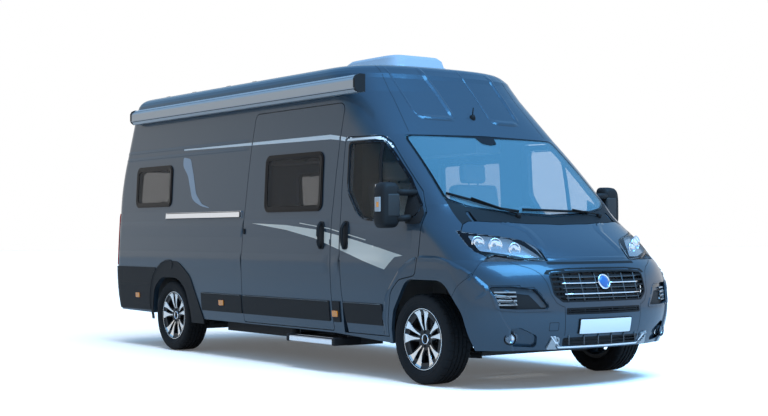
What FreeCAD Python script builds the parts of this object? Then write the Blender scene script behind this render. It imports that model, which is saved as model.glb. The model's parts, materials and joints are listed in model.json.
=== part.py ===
"""Camper van: a long, high-roofed panel van fitted out as a motor home, in millimetres.

Frame: +X forward, +Y to the left, +Z up, origin on the ground under the middle of the van.
The skin is a stack of plan sections (a rounded nose, straight sides, rounded rear corners);
every outer panel is a stretch of that skin, as thick as the whole door, wall or lid.
"""
import FreeCAD
import Part
import math
import os
from FreeCAD import Placement, Rotation, Vector

os.makedirs("parts", exist_ok=True)
doc = FreeCAD.newDocument("camper_van")
sheet = doc.addObject("Spreadsheet::Sheet", "Sizes")

SIZES = {
    # whole vehicle
    "length": 6363, "width": 2050, "wheelbase": 4035, "front_overhang": 948,
    "nose_depth": 500, "tail_depth": 250, "tail_roundness": 2.8,
    # shell
    "wall": 45, "front_panel": 22, "lid_skin": 14, "glass": 6, "shut_gap": 7, "seat_gap": 0.3,
    "sill_top": 345, "floor_low": 400, "floor_thick": 40, "gutter_height": 2228, "rear_post": 850,
    # wheels
    "wheel_radius": 342, "tyre_width": 230, "tyre_bead": 214, "rim_radius": 232, "rim_width": 190,
    "track_front": 1780, "track_rear": 1770, "hub_radius": 75, "hub_face": 40, "spokes": 5,
    "kingpin_inset": 100, "disc_radius": 150, "steering_wheel_radius": 190,
    # arches
    "arch_front_shift": 112,
    # cab doors
    "cab_door_rear": 1065, "hinge_pin": 6,
    "hinge_barrel": 11, "hinge_clear": 0.25, "pillar_width": 138,
    # sliding door
    "sliding_door_length": 1435, "sliding_door_top": 2205, "sliding_door_low": 350,
    # rear doors
    "rear_door_low": 520, "rear_door_top": 2195, "rear_door_edge": 838,
    # awning, rooflight, step
    "awning_rear": -2634, "awning_front": 1424, "awning_low": 2265, "awning_height": 148,
    "awning_depth": 108, "rooflight_length": 700, "rooflight_width": 500, "rooflight_height": 62,
    "step_rear": 412, "step_front": 1138, "step_low": 232, "step_depth": 300, "step_thick": 45,
    "step_out": 1046,
    # chassis
    "rail_y": 440, "rail_width": 70, "rail_low": 290, "rail_height": 110,
}

# name, height, nose behind the front plane, tuck-in of the side, roundness of the nose in plan,
# tail ahead of the rear plane
STATIONS = [
    ("sill", 290, 66, 40, 2.1, 50),
    ("skirt", 400, 21, 25, 2.1, 28),
    ("bumper", 520, 0, 13, 2.1, 12),
    ("mask", 700, 16, 3, 2.1, 0),
    ("face", 850, 71, 0, 2.1, 2),
    ("lip", 940, 155, 3, 2.1, 3),
    ("lid", 1100, 346, 10, 2.2, 4),
    ("scuttle", 1266, 598, 20, 2.5, 5),
    ("base", 1354, 706, 27, 2.8, 8),
    ("screen", 1650, 1066, 40, 3.6, 36),
    ("header", 1925, 1413, 57, 4.4, 113),
    ("cap", 2300, 1737, 90, 3.0, 215),
    ("shoulder", 2420, 1838, 110, 3.0, 235),
    ("edge", 2460, 1864, 122, 3.0, 241),
    ("eave", 2490, 1897, 140, 3.0, 250),
    ("bend", 2512, 1920, 163, 3.0, 262),
    ("ridge", 2530, 1946, 195, 3.0, 280),
    ("slope", 2543, 1982, 239, 3.0, 307),
    ("crest", 2552, 2031, 295, 3.0, 340),
    ("top", 2560, 2181, 465, 3.0, 460),
]
ZONES = [("sill", "lip"), ("lip", "base"), ("base", "header"), ("header", "cap"), ("cap", "top")]
COLUMNS = ("height", "back", "tuck", "roundness", "ahead")


def fill_sheet():
    """One row per driving size, with its alias, then one row of five cells per station."""
    row = 1
    for alias, value in SIZES.items():
        sheet.set(f"A{row}", alias)
        sheet.set(f"B{row}", str(value))
        sheet.setAlias(f"B{row}", alias)
        row += 1
    for name, *values in STATIONS:
        sheet.set(f"A{row}", name)
        for letter, column, value in zip("BCDEF", COLUMNS, values):
            sheet.set(f"{letter}{row}", str(value))
            sheet.setAlias(f"{letter}{row}", f"{name}_{column}")
        row += 1
    doc.recompute()


fill_sheet()


def size(alias):
    return float(sheet.get(alias))


front_axle = size("length") / 2 - size("front_overhang")
rear_axle = front_axle - size("wheelbase")
half_width = size("width") / 2
half_length = size("length") / 2
door_rear = front_axle - size("cab_door_rear")
slide_front = door_rear - size("pillar_width")
slide_rear = slide_front - size("sliding_door_length")
gap = size("shut_gap")
wall = size("wall")
FAR = 4000.0
nodes = []


def keep(label, thing):
    """Keep a sub-part: a document object, or a shape that becomes a Part::Feature."""
    if isinstance(thing, Part.Shape):
        feature = doc.addObject("Part::Feature", label)
        feature.Shape = thing
        thing = feature
    thing.Label = label
    nodes.append(thing)
    return thing


def station(name, inset):
    """Height, nose, half width, roundness and tail of the skin moved in by a thickness."""
    index = [row[0] for row in STATIONS].index(name)
    low = STATIONS[max(index - 1, 0)][0]
    high = STATIONS[min(index + 1, len(STATIONS) - 1)][0]
    rise = size(high + "_height") - size(low + "_height")
    slope = (size(high + "_back") - size(low + "_back")) / rise
    lean = min(math.hypot(1, slope), 2.0)
    above = max(size(name + "_height") - size("cap_height"), 0)
    drop = inset * above / (size("top_height") - size("cap_height"))
    return (size(name + "_height") - drop,
            half_length - size(name + "_back") - inset * lean,
            half_width - size(name + "_tuck") - inset,
            size(name + "_roundness"),
            size(name + "_ahead") - half_length + inset)


def arc_of(middle, depth, half, power, height, sign):
    """A rounded end in plan: two cubic quarters that pass where a superellipse would."""
    full = (8 * 0.5 ** (1 / power) - 4) / 3
    quarter = [(0, 1), (full, 1), (1, full)]
    whole = quarter + [(1, 0)] + [(along, -across) for along, across in reversed(quarter)]
    poles = [Vector(middle + sign * depth * along, -sign * half * across, height)
             for along, across in whole]
    curve = Part.BSplineCurve()
    curve.buildFromPolesMultsKnots(poles, [4, 3, 4], [0, 1, 2], False, 3)
    return curve.toShape()


def plan_section(height, nose, half, power, tail):
    front = nose - size("nose_depth")
    rear = tail + size("tail_depth")
    bow = arc_of(front, size("nose_depth"), half, power, height, 1)
    stern = arc_of(rear, size("tail_depth"), half, size("tail_roundness"), height, -1)
    left = Part.makeLine(Vector(front, half, height), Vector(rear, half, height))
    right = Part.makeLine(Vector(rear, -half, height), Vector(front, -half, height))
    return Part.Wire([bow, left, stern, right])


zone_cache = {}


def zone_solid(low, high, inset):
    """One zone of the body's outer form, moved in by a thickness."""
    if (low, inset) not in zone_cache:
        names = [row[0] for row in STATIONS]
        stretch = names[names.index(low):names.index(high) + 1]
        sections = [plan_section(*station(name, inset)) for name in stretch]
        zone_cache[low, inset] = Part.makeLoft(sections, True, low == "cap")
    return zone_cache[low, inset]


shell_cache = {}


def skin(region, outer, inner):
    """The part of the skin between two depths that lies in a region."""
    pieces = []
    box = region.BoundBox
    for low, high in ZONES:
        bottom, top = size(low + "_height"), size(high + "_height")
        if box.ZMax <= bottom or (box.ZMin >= top and high != "top"):
            continue
        if (low, outer, inner) not in shell_cache:
            shell = zone_solid(low, high, outer).cut(zone_solid(low, high, inner))
            shell_cache[low, outer, inner] = shell
        shell = shell_cache[low, outer, inner]
        if region.BoundBox.intersect(shell.BoundBox):
            piece = region.common(shell)
            if piece.Solids:
                pieces.append(piece)
    if len(pieces) == 1:
        return pieces[0]
    return pieces[0].fuse(pieces[1:]).removeSplitter()


def inside(region, inset):
    """The part of a region that lies within the body, clear of its walls by an inset."""
    pieces = [region.common(zone_solid(low, high, inset)) for low, high in ZONES]
    pieces = [piece for piece in pieces if piece.Solids]
    if len(pieces) == 1:
        return pieces[0]
    return pieces[0].fuse(pieces[1:]).removeSplitter()


def outline(points, lift):
    """A closed wire through (u, v) or (u, v, corner radius) points."""
    corners = []
    count = len(points)
    for index, point in enumerate(points):
        before = points[index - 1]
        after = points[(index + 1) % count]
        corner = Vector(point[0], point[1], 0)
        back = (Vector(before[0], before[1], 0) - corner).normalize()
        ahead = (Vector(after[0], after[1], 0) - corner).normalize()
        radius = point[2] if len(point) > 2 else 0
        if radius:
            half = back.getAngle(ahead) / 2
            run = radius / math.tan(half)
            middle = (back + ahead).normalize() * (radius / math.sin(half) - radius)
            corners.append((corner + back * run, corner + middle, corner + ahead * run))
        else:
            corners.append((corner, None, corner))
    edges = []
    for index, (start, middle, end) in enumerate(corners):
        if middle:
            edges.append(Part.Arc(lift(start), lift(middle), lift(end)).toShape())
        following = corners[(index + 1) % count][0]
        edges.append(Part.makeLine(lift(end), lift(following)))
    return Part.Wire(edges)


def grown(wire, margin):
    return wire.makeOffset2D(margin) if margin else wire


def side_prism(points, low=-FAR, high=0.0, margin=0.0):
    """Outline in the side view (x, z), run across the van from y low to y high."""
    wire = grown(outline(points, lambda p: Vector(p.x, low, p.y)), margin)
    return Part.Face(wire).extrude(Vector(0, high - low, 0))


def plan_prism(points, low=0.0, high=FAR, margin=0.0):
    """Outline in plan (x, y), run up from z low to z high."""
    wire = grown(outline(points, lambda p: Vector(p.x, p.y, low)), margin)
    return Part.Face(wire).extrude(Vector(0, 0, high - low))


def front_prism(points, low=0.0, high=FAR, margin=0.0):
    """Outline in the front view (y, z), run along the van from x low to x high."""
    wire = grown(outline(points, lambda p: Vector(low, p.x, p.y)), margin)
    return Part.Face(wire).extrude(Vector(high - low, 0, 0))


def cuboid(x, y, z):
    return Part.makeBox(x[1] - x[0], y[1] - y[0], z[1] - z[0], Vector(x[0], y[0], z[0]))


def largest(shape):
    return max(shape.Solids, key=lambda solid: solid.Volume)


def join(*shapes):
    return shapes[0].fuse(list(shapes[1:])).removeSplitter()


def pair(shape):
    """A piece of the right side and its mirror image as one node."""
    return Part.makeCompound([shape, flipped(shape)])


def flipped(shape):
    return shape.mirror(Vector(), Vector(0, 1, 0))


def both(points):
    """A half outline (y below 0) with its mirror image added."""
    other = [(-point[0],) + tuple(point[1:]) for point in reversed(points) if point[0] != 0]
    return list(points) + other


def both_plan(points):
    """The same for a half outline in plan, where y is the second coordinate."""
    other = [(point[0], -point[1]) + tuple(point[2:]) for point in reversed(points) if point[1]]
    return list(points) + other


# Outlines in the side view, as distances from the front axle, the rear axle or the tail
fa = front_axle
ra = rear_axle

cab_door = [
    (door_rear + 5, 1500), (door_rear + 30, 1918, 60), (fa - 594, 1905, 60),
    (fa - 499, 1848, 60), (fa - 84, 1456), (fa + 18, 1292, 30), (fa + 18, 1223),
    (fa - 5, 978), (fa - 38, 822, 40), (fa - 239, 788, 90), (fa - 350, 690, 120),
    (fa - 402, 452), (fa - 404, size("sill_top")), (door_rear + 102, size("sill_top")),
    (door_rear + 36, 645), (door_rear, 1056),
]
cab_window = [
    (door_rear + 92, 1480, 60), (door_rear + 92, 1866, 45), (fa - 560, 1862, 45),
    (fa - 432, 1755), (fa - 217, 1557), (fa - 40, 1345, 20), (fa - 62, 1262, 40),
    (fa - 560, 1245, 60), (fa - 800, 1262, 120),
]
slide_low = size("sliding_door_low")
slide_door = [
    (slide_rear + 6, slide_low + 120), (slide_rear, 900), (slide_rear + 20, 1300),
    (slide_rear + 95, 1900), (slide_rear + 140, size("sliding_door_top"), 60),
    (slide_front + 120, size("sliding_door_top"), 60), (slide_front + 78, 1900),
    (slide_front + 5, 1300), (slide_front, 1000), (slide_front + 22, slide_low + 120, 40),
    (slide_front + 30, slide_low, 20), (slide_rear + 10, slide_low, 20),
]
arch_x = fa + size("arch_front_shift")
front_arch = [
    (arch_x - 472, 100), (arch_x - 472, 402, 60), (arch_x - 437, 540, 150),
    (arch_x - 255, 790, 130),
    (arch_x + 190, 790, 200), (arch_x + 400, 560, 200), (arch_x + 450, 330), (arch_x + 470, 100),
]
rear_arch = [
    (ra - 400, 100), (ra - 398, 400, 120), (ra - 330, 610, 200), (ra - 170, 714, 260),
    (ra + 170, 714, 260), (ra + 330, 610, 200), (ra + 398, 400, 120), (ra + 400, 100),
]
seam_x = fa + 578
wing_front = [
    (seam_x, 1000), (seam_x - 3, 890), (seam_x - 12, 825, 50), (seam_x - 118, 742),
    (seam_x - 300, 500), (seam_x - 300, 0), (FAR, 0), (FAR, 1000),
]

# Outlines in plan of the bonnet and the right headlamp
bonnet_half = [
    (fa + 406, 0), (fa + 380, -300, 300), (fa + 300, -600, 300), (fa + 222, -768, 20),
    (fa + 236, -820, 25), (fa + 296, -864, 10), (fa + 370, -797), (fa + 459, -683),
    (fa + 530, -571, 200), (fa + 589, -492), (fa + 664, -446, 60), (fa + 737, -418, 30),
    (fa + 900, -415),
]
headlamp = [
    (fa + 286, -894), (fa + 330, -830), (fa + 400, -700), (fa + 470, -590), (fa + 530, -505),
    (fa + 600, -440), (fa + 758, -432), (fa + 694, -628, 80), (fa + 592, -779, 20),
    (fa + 582, -832, 20), (fa + 497, -885), (fa + 415, -902),
]
bonnet_edge = size("lip_height") - 10


def bonnet_region(margin=0.0):
    """The bonnet's outline, run through the skin along the way it lifts."""
    way = Vector(0.42, 0, 0.9)
    level = 1100.0
    wire = outline(both_plan(bonnet_half), lambda p: Vector(p.x, p.y, level))
    face = Part.Face(grown(wire, margin))
    face.translate(way * -600)
    return face.extrude(way * 1200).common(
        cuboid((0, FAR), (-FAR, FAR), (bonnet_edge - margin, FAR)))


def headlamp_region(margin=0.0):
    return plan_prism(headlamp, bonnet_edge - margin, 1250, margin)


windscreen_half = [
    (0, 1262), (-400, 1285, 400), (-700, 1335, 300), (-822, 1398, 30), (-782, 1915, 40),
    (0, 1930),
]


def windscreen_region(margin=0.0):
    return front_prism(both(windscreen_half), fa - 700, FAR, margin)


def cowl_region():
    """Between the lower edge of the windscreen and the rear edge of the bonnet."""
    slab = [(fa - 20, 0), (fa - 20, -822), (fa + 330, -822), (fa + 400, -600, 300),
            (fa + 460, -300, 300), (fa + 480, 0)]
    region = plan_prism(both_plan(slab), 1150, 1420)
    return region.cut(windscreen_region(4)).cut(bonnet_region(gap))


# Body shell

header = size("header_height") + 11
gutter = size("gutter_height")
grille_half = [(0, 866), (-300, 862, 900), (-478, 848, 40), (-470, 690, 60), (-400, 634, 30),
               (0, 634)]
slot_half = [(0, 596), (-372, 594, 10), (-376, 545, 10), (0, 543)]
lower_grille_half = [(0, 380), (-385, 378, 15), (-372, 316, 15), (0, 312)]
intake = [(-900, 700, 40), (-895, 752, 20), (-768, 754, 60), (-600, 732, 30), (-500, 590, 20),
          (-738, 588), (-868, 600, 30)]
fog_recess = [(-852, 330, 40), (-852, 440, 40), (-720, 460, 40), (-590, 400, 40), (-575, 312, 20)]
under_line = [(-FAR, 372), (ra - 400, 352), (ra + 653, 335), (slide_front + 35, 329),
              (fa - 396, 292), (fa - 396, 0), (-FAR, 0)]
strip_low, strip_high = 420, 588
nose_x = fa + 300


flare = [(fa - 440, 100), (fa - 462, 495, 100), (fa - 411, 665, 150), (fa - 198, 893, 200),
         (fa - 14, 959, 300), (fa + 295, 955, 300), (fa + 547, 853, 200), (fa + 710, 702, 200),
         (fa + 770, 449), (fa + 700, 100)]
proud = 9


def front_flare():
    """The raised border of the front arch, over bumper, wing and door (both sides)."""
    ring = side_prism(flare, -FAR, FAR).cut(side_prism(front_arch, -FAR, FAR))
    return ring.cut(headlamp_region(5)).cut(flipped(headlamp_region(5)))


def bumper_region(margin=0.0):
    lower = side_prism(wing_front, -FAR, FAR, -margin)
    return lower.common(cuboid((fa, FAR), (-FAR, FAR), (0, bonnet_edge)))


def nose_holes(margin=0.0):
    """The openings of the nose, run along the van: grille, slot, lower grille, intakes, fogs."""
    tools = [front_prism(both(hole), nose_x, FAR, margin)
             for hole in (grille_half, slot_half, lower_grille_half)]
    for hole in (intake, fog_recess):
        tool = front_prism(hole, nose_x, FAR, margin)
        tools += [tool, flipped(tool)]
    return tools


def front_bumper():
    """The bumper with its openings and a lip that laps behind the wings."""
    panel = size("front_panel")
    body = skin(bumper_region(), 0, panel)
    lip = side_prism(wing_front, -FAR, FAR, 14).common(cuboid((fa, FAR), (-FAR, FAR),
                                                             (0, bonnet_edge)))
    lip = skin(lip.cut(side_prism(wing_front, -FAR, FAR, -14)), panel, panel + 5)
    body = body.fuse(lip)
    body = body.cut(side_prism(front_arch, -FAR, FAR))
    for tool in nose_holes():
        body = body.cut(tool)
    body = body.cut(headlamp_region(0)).cut(flipped(headlamp_region(0)))
    raised = skin(front_flare().common(bumper_region()), -proud, 0)
    return body.fuse(raised)


wing_outline = [
    (fa - 520, 0), (fa - 520, 1000), (fa - 60, 1232), (fa + 30, 1232), (fa + 70, 1300),
    (fa + 250, 1330), (fa + 700, 1330), (fa + 700, 0),
]


def wing_right():
    region = side_prism(wing_outline, -FAR, -500)
    body = skin(region, 0, size("front_panel"))
    body = body.cut(side_prism(cab_door, -FAR, 0, gap))
    body = body.cut(side_prism(wing_front, -FAR, 0, 3))
    body = body.cut(side_prism(front_arch, -FAR, 0))
    body = body.cut(bonnet_region(gap)).cut(headlamp_region(0)).cut(windscreen_region(4))
    body = body.cut(cowl_region())
    behind = cuboid((-FAR, fa - 396), (-FAR, 0), (0, size("sill_top") + gap))
    body = largest(body.cut(behind))
    ring = front_flare().common(side_prism(wing_outline, -FAR, -500)).cut(behind)
    ring = ring.cut(side_prism(cab_door, -FAR, 0, gap)).cut(side_prism(wing_front, -FAR, 0, 3))
    return body.fuse(skin(ring, -proud, 0))


def skin_height(x, y):
    """Height of the top of the skin over a point in plan."""
    line = Part.makeLine(Vector(x, y, 900), Vector(x, y, 3000))
    tops = [line.common(zone_solid(low, high, 0)) for low, high in ZONES]
    return max(top.BoundBox.ZMax for top in tops if top.Edges)


bonnet_axis_x = fa + 205
bonnet_pin_y = (708, 732)
bonnet_axis_z = skin_height(bonnet_axis_x, -720) - 20


def barrel(radius, low, high, x, z):
    return Part.makeCylinder(radius, high - low, Vector(x, low, z), Vector(0, 1, 0))


def bonnet_knuckle():
    """Arm from the bonnet's inner face back to its pin (left side)."""
    low, high = bonnet_pin_y
    bend, tip = fa + 325, fa + 385
    under, top = skin_height(bend, -720) - 24, skin_height(tip, -720) - 8
    points = [(bonnet_axis_x, bonnet_axis_z + 7), (bend, under), (tip, top), (tip, top - 34),
              (bend - 10, under - 22), (bonnet_axis_x, bonnet_axis_z - 7)]
    return side_prism(points, low, high).fuse(barrel(10, low, high, bonnet_axis_x, bonnet_axis_z))


def bonnet():
    """The lid with the two knuckles of its hinge at the rear corners."""
    lid = skin(bonnet_region(), 0, size("lid_skin"))
    low, high = bonnet_pin_y
    knuckle = bonnet_knuckle().cut(skin(cuboid((fa, FAR), (low, high), (900, 1400)), -60, 5))
    bore = barrel(4 + size("hinge_clear"), low, high, bonnet_axis_x, bonnet_axis_z)
    knuckle = knuckle.cut(bore)
    return lid.fuse([knuckle, flipped(knuckle)])


def cowl():
    """The tray between bonnet and windscreen, with the brackets and pins of the bonnet."""
    low, high = bonnet_pin_y
    x, z = bonnet_axis_x, bonnet_axis_z
    body = skin(cowl_region(), 0, size("front_panel"))
    room = cuboid((x - 17, fa + 440), (low - 6, high + 6), (900, z + 15))
    body = body.cut(room).cut(flipped(room))
    pin = barrel(4, low - 12, high + 12, x, z)
    for side in (low - 12, high + 2):
        cheek = side_prism([(x - 12, z - 10), (x - 12, z + 30), (x + 12, z + 30), (x + 12, z - 10)],
                           side, side + 10)
        pin = pin.fuse(cheek)
    pin = pin.cut(skin(cuboid((fa, FAR), (low - 20, high + 20), (900, 1500)), -60, 0))
    return body.fuse([pin, flipped(pin)])


def side_wall():
    """Side wall from the front post of the cab door back to the rear corner."""
    region = side_prism([(-FAR, 0), (-FAR, gutter), (door_rear + 40, gutter), (door_rear + 40, 0)],
                        -FAR, -size("rear_post"))
    sill = side_prism([(0, 0), (0, size("sill_top") - gap), (fa - 396, size("sill_top") - gap),
                       (fa - 396, 0)], -FAR, -size("rear_post"))
    body = skin(region.fuse(sill), 0, wall)
    body = body.cut(side_prism(cab_door, -FAR, 0, gap)).cut(side_prism(under_line, -FAR, 0))
    body = body.cut(side_prism(rear_arch, -FAR, 0)).cut(side_prism(front_arch, -FAR, 0))
    return body.cut(skin(tail_lamp_region(), 0, lamp_depth))


rear_window = [(ra - 788, 1420, 60), (ra - 788, 1808, 60), (ra - 28, 1808, 60), (ra - 28, 1420, 60)]
slide_window = [(slide_rear + 380, 1337, 60), (slide_rear + 380, 1812, 60),
                (slide_front - 155, 1812, 60), (slide_front - 155, 1337, 60)]
back_window = [(-700, 1430, 60), (-700, 1800, 60), (-120, 1800, 60), (-120, 1430, 60)]
lamp_depth = 20


def tail_lamp_region():
    return cuboid((-FAR, -half_length + 190), (-FAR, -size("rear_post") - 14), (823, 1354))


def slide_frame():
    """The return of the side wall that the closed sliding door rests on."""
    outer = side_prism(slide_door, -FAR, 0, gap + 15)
    ring = outer.cut(side_prism(slide_door, -FAR, 0, -18))
    beside = outer.cut(side_prism(slide_door, -FAR, 0, gap))
    return skin(ring, wall + size("seat_gap"), wall + 14).fuse(skin(beside, wall - 15, wall + 14))


def roof_shell():
    """The high roof with its front cap over the windscreen, open under the rooflight."""
    region = side_prism([(-FAR, gutter), (door_rear + 40, gutter), (door_rear + 40, header),
                         (FAR, header), (FAR, 2700), (-FAR, 2700)], -FAR, FAR)
    body = skin(region, 0, wall)
    return body.cut(rooflight_box(40, 2000, 2700))


rooflight_x = fa - 1700


def rooflight_box(margin, low, high):
    long = size("rooflight_length") / 2 - margin
    wide = size("rooflight_width") / 2 - margin
    return cuboid((rooflight_x - long, rooflight_x + long), (-wide, wide), (low, high))


def rooflight():
    """A glazed dome with sloping sides on a flat frame."""
    low = size("top_height")
    high = low + size("rooflight_height")
    long, wide = size("rooflight_length") / 2, size("rooflight_width") / 2

    def ring(inset, z):
        return Part.makePolygon([Vector(rooflight_x + i * (long - inset), j * (wide - inset), z)
                                 for i, j in ((-1, -1), (1, -1), (1, 1), (-1, 1), (-1, -1))])
    dome = Part.makeLoft([ring(0, low), ring(0, low + 14), ring(34, high)], True, True)
    hollow = Part.makeLoft([ring(40, low), ring(40, low + 14), ring(50, high - 12)], True, True)
    return dome.cut(hollow)


def cab_frame():
    """Windscreen posts, the flange the windscreen is bonded to, and the door hinge posts."""
    region = cuboid((door_rear + 40, fa + 420), (-FAR, FAR), (1232, header))
    body = skin(region, 0, wall).cut(side_prism(cab_door, -FAR, FAR, gap))
    body = body.cut(side_prism(wing_outline, -FAR, FAR)).cut(windscreen_region(4))
    body = body.cut(cowl_region()).cut(bonnet_region(gap))
    flange = windscreen_region(4).cut(windscreen_region(-18))
    body = body.fuse(skin(flange, size("glass"), size("glass") + 8))
    post = cuboid((hinge_x - 25, hinge_x + 45), (-838, -780), (wheelhouse_top + 30, 1330))
    head = cuboid((fa + 30, hinge_x + 45), (-838, -690), (1241, 1460))
    post = inside(post.fuse(head), wall - 1)
    body = body.fuse([post, flipped(post)])
    return body.fuse([hinge_brackets(), flipped(hinge_brackets())])


hinge_x = fa + 100
hinge_y = -(half_width - 70)
hinge_levels = (935, 1120)
arm_half = 10
wheelhouse_top = 870


def hinge_brackets():
    """Fork and pin of each cab door hinge, on the outside of its post (right side)."""
    pieces = []
    for level in hinge_levels:
        pin = Part.makeCylinder(size("hinge_pin"), 2 * arm_half + 24,
                                Vector(hinge_x, hinge_y, level - arm_half - 12))
        pieces.append(pin)
        for low in (level - arm_half - 12, level + arm_half + 1):
            eye = Part.makeCylinder(size("hinge_barrel"), 11, Vector(hinge_x, hinge_y, low))
            plate = cuboid((hinge_x - 8, hinge_x + 40), (hinge_y, -838), (low, low + 11))
            pieces += [eye, plate]
    return pieces[0].fuse(pieces[1:])


def hinge_arms():
    """The swan-neck arms that carry the cab door on its pins (right side)."""
    arms = []
    for level in hinge_levels:
        low = level - arm_half
        points = [(hinge_x - 175, hinge_y - 42), (hinge_x - 162, hinge_y + 108, 20),
                  (hinge_x - 20, hinge_y + 108, 20), (hinge_x + 8, hinge_y), (hinge_x - 8, hinge_y),
                  (hinge_x - 34, hinge_y + 92, 12), (hinge_x - 148, hinge_y + 92, 12),
                  (hinge_x - 155, hinge_y - 42)]
        arm = plan_prism(points, low, low + 2 * arm_half)
        eye = Part.makeCylinder(size("hinge_barrel"), 2 * arm_half, Vector(hinge_x, hinge_y, low))
        arms.append(arm.fuse(eye))
    bore = Part.makeCylinder(size("hinge_pin") + size("hinge_clear"), 1000,
                             Vector(hinge_x, hinge_y, 700))
    return arms[0].fuse(arms[1]).cut(bore)


def swing_room():
    """The rounding of the door's front edge about the hinge, so that it clears the wing."""
    profile = [(0, 700), (190, 700), (190, 812), (166, 826), (156.5, 840), (138.5, 930),
               (133.5, 957), (127, 960), (106.5, 1145), (97, 1210), (93, 1240), (93, 1300),
               (0, 1300)]
    face = Part.Face(outline(profile, lambda p: Vector(hinge_x + p.x, hinge_y, p.y)))
    return face.revolve(Vector(hinge_x, hinge_y, 0), Vector(0, 0, 1), 360)


def cab_door_right():
    door = skin(side_prism(cab_door, -FAR, -400), 0, wall).cut(side_prism(cab_window, -FAR, 0))
    raised = front_flare().common(side_prism(cab_door, -FAR, -400))
    door = door.fuse(skin(raised, -proud, 0)).cut(swing_room())
    return door.fuse(hinge_arms())


def window_unit(points, edge=12, proud=9):
    """A glazed unit: a frame that laps the panel and a pane that fills the opening."""
    frame = skin(side_prism(points, -FAR, 0, edge).cut(side_prism(points, -FAR, 0, -22)), -proud, 0)
    pane = skin(side_prism(points, -FAR, 0, -size("seat_gap")), -proud + 2, 16)
    return frame.fuse(pane)


def rear_frame():
    """Sill, header and the return that the rear doors close against."""
    post = size("rear_post")
    low, high = size("rear_door_low"), size("rear_door_top")
    region = cuboid((-FAR, -2800), (-post, post), (340, gutter))
    opening = cuboid((-FAR, 0), (-post, post), (low - gap, high + gap))
    body = skin(region.cut(opening), 0, wall)
    ring = cuboid((-FAR, -2800), (-post - 30, post + 30), (low - 40, high + 40)).cut(
        cuboid((-FAR, 0), (-post + 16, post - 16), (low + 20, high - 20)))
    swing = cuboid((-FAR, 0), (-post + 16, -690), (high - 22, high + gap + 1))
    ring = ring.cut(swing).cut(flipped(swing))
    return body.fuse(skin(ring, wall, wall + 12).cut(
        skin(cuboid((-FAR, 0), (-post + 5, post - 5), (low - gap, high + gap)), wall, wall + 6)))


rear_hinge_x = -half_length + 51
rear_hinge_y = -(size("rear_door_edge") + 8)
rear_hinge_levels = (700, 1100, 1500)
rear_pin, rear_eye = 5, 9


def rear_door_right():
    edge = size("rear_door_edge")
    low, high = size("rear_door_low"), size("rear_door_top")
    region = front_prism([(-edge, low, 40), (-edge, high, 60), (-gap / 2, high, 5),
                          (-gap / 2, low, 5)], -FAR, -2700)
    door = skin(region, 0, wall).cut(front_prism(back_window, -FAR, -2700))
    for level in rear_hinge_levels:
        eye = Part.makeCylinder(rear_eye, 36, Vector(rear_hinge_x, rear_hinge_y, level - 18))
        strap = plan_prism([(rear_hinge_x - 5, rear_hinge_y), (rear_hinge_x + 5, rear_hinge_y),
                            (rear_hinge_x + 22, rear_hinge_y + 30),
                            (rear_hinge_x + 12, rear_hinge_y + 120),
                            (rear_hinge_x - 14, rear_hinge_y + 110)], level - 18, level + 18)
        door = door.fuse([eye, strap])
    bore = Part.makeCylinder(rear_pin + size("hinge_clear"), 2000,
                             Vector(rear_hinge_x, rear_hinge_y, 400))
    return door.cut(bore)


def rear_hinges():
    """Pins and body leaves of the right rear door."""
    pieces = []
    for level in rear_hinge_levels:
        pieces.append(Part.makeCylinder(rear_pin, 84, Vector(rear_hinge_x, rear_hinge_y,
                                                            level - 42)))
        for low in (level - 42, level + 19):
            pieces.append(Part.makeCylinder(rear_eye, 23, Vector(rear_hinge_x, rear_hinge_y, low)))
            leaf = plan_prism([(rear_hinge_x - 6, rear_hinge_y), (rear_hinge_x + 20, rear_hinge_y - 16),
                               (rear_hinge_x + 70, rear_hinge_y - 16),
                               (rear_hinge_x + 14, rear_hinge_y)], low, low + 23)
            pieces.append(leaf)
    whole = pieces[0].fuse(pieces[1:])
    return whole.cut(skin(cuboid((-FAR, 0), (-FAR, -size("rear_post")), (400, 2000)), 0, wall))


doc.recompute()

wall_right = side_wall()
right_side = wall_right.cut(side_prism(slide_door, -FAR, 0, gap))
right_side = right_side.cut(side_prism(rear_window, -FAR, 0)).fuse([slide_frame(), rear_hinges()])
keep("side_panel_right", right_side)
left_side = wall_right.cut(side_prism(rear_window, -FAR, 0))
left_side = left_side.cut(side_prism(slide_window, -FAR, 0)).fuse(rear_hinges())
keep("side_panel_left", flipped(left_side))
keep("sliding_door", skin(side_prism(slide_door, -FAR, 0), 0, wall).cut(
    side_prism(slide_window, -FAR, 0)))
keep("roof_shell", roof_shell())
keep("rooflight", rooflight())
wing = wing_right()
keep("front_wings", Part.makeCompound([wing, flipped(wing)]))
keep("bonnet", bonnet())
keep("cowl", cowl())
keep("front_bumper", front_bumper())
keep("cab_frame", cab_frame())
keep("rear_frame", rear_frame())
cab_door_shape = cab_door_right()
keep("cab_door_right", cab_door_shape)
keep("cab_door_left", flipped(cab_door_shape))
door_pane = skin(side_prism(cab_window, -FAR, 0, -size("seat_gap")), 6, 12)
keep("cab_door_glass_right", door_pane)
keep("cab_door_glass_left", flipped(door_pane))
rear_door_shape = rear_door_right()
keep("rear_door_right", rear_door_shape)
keep("rear_door_left", flipped(rear_door_shape))
rear_pane = skin(front_prism(back_window, -FAR, -2700, -size("seat_gap")), 4, 12)
keep("rear_door_glass_right", rear_pane)
keep("rear_door_glass_left", flipped(rear_pane))
windscreen = skin(windscreen_region(), 0, size("glass"))
windows = [window_unit(rear_window), window_unit(slide_window)]
keep("fixed_glass", Part.makeCompound([windscreen] + windows + [flipped(w) for w in windows]))
lamp = largest(skin(headlamp_region(0), 0, size("front_panel") + 30).cut(bonnet_region(4)))
keep("headlamps", Part.makeCompound([lamp, flipped(lamp)]))
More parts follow.
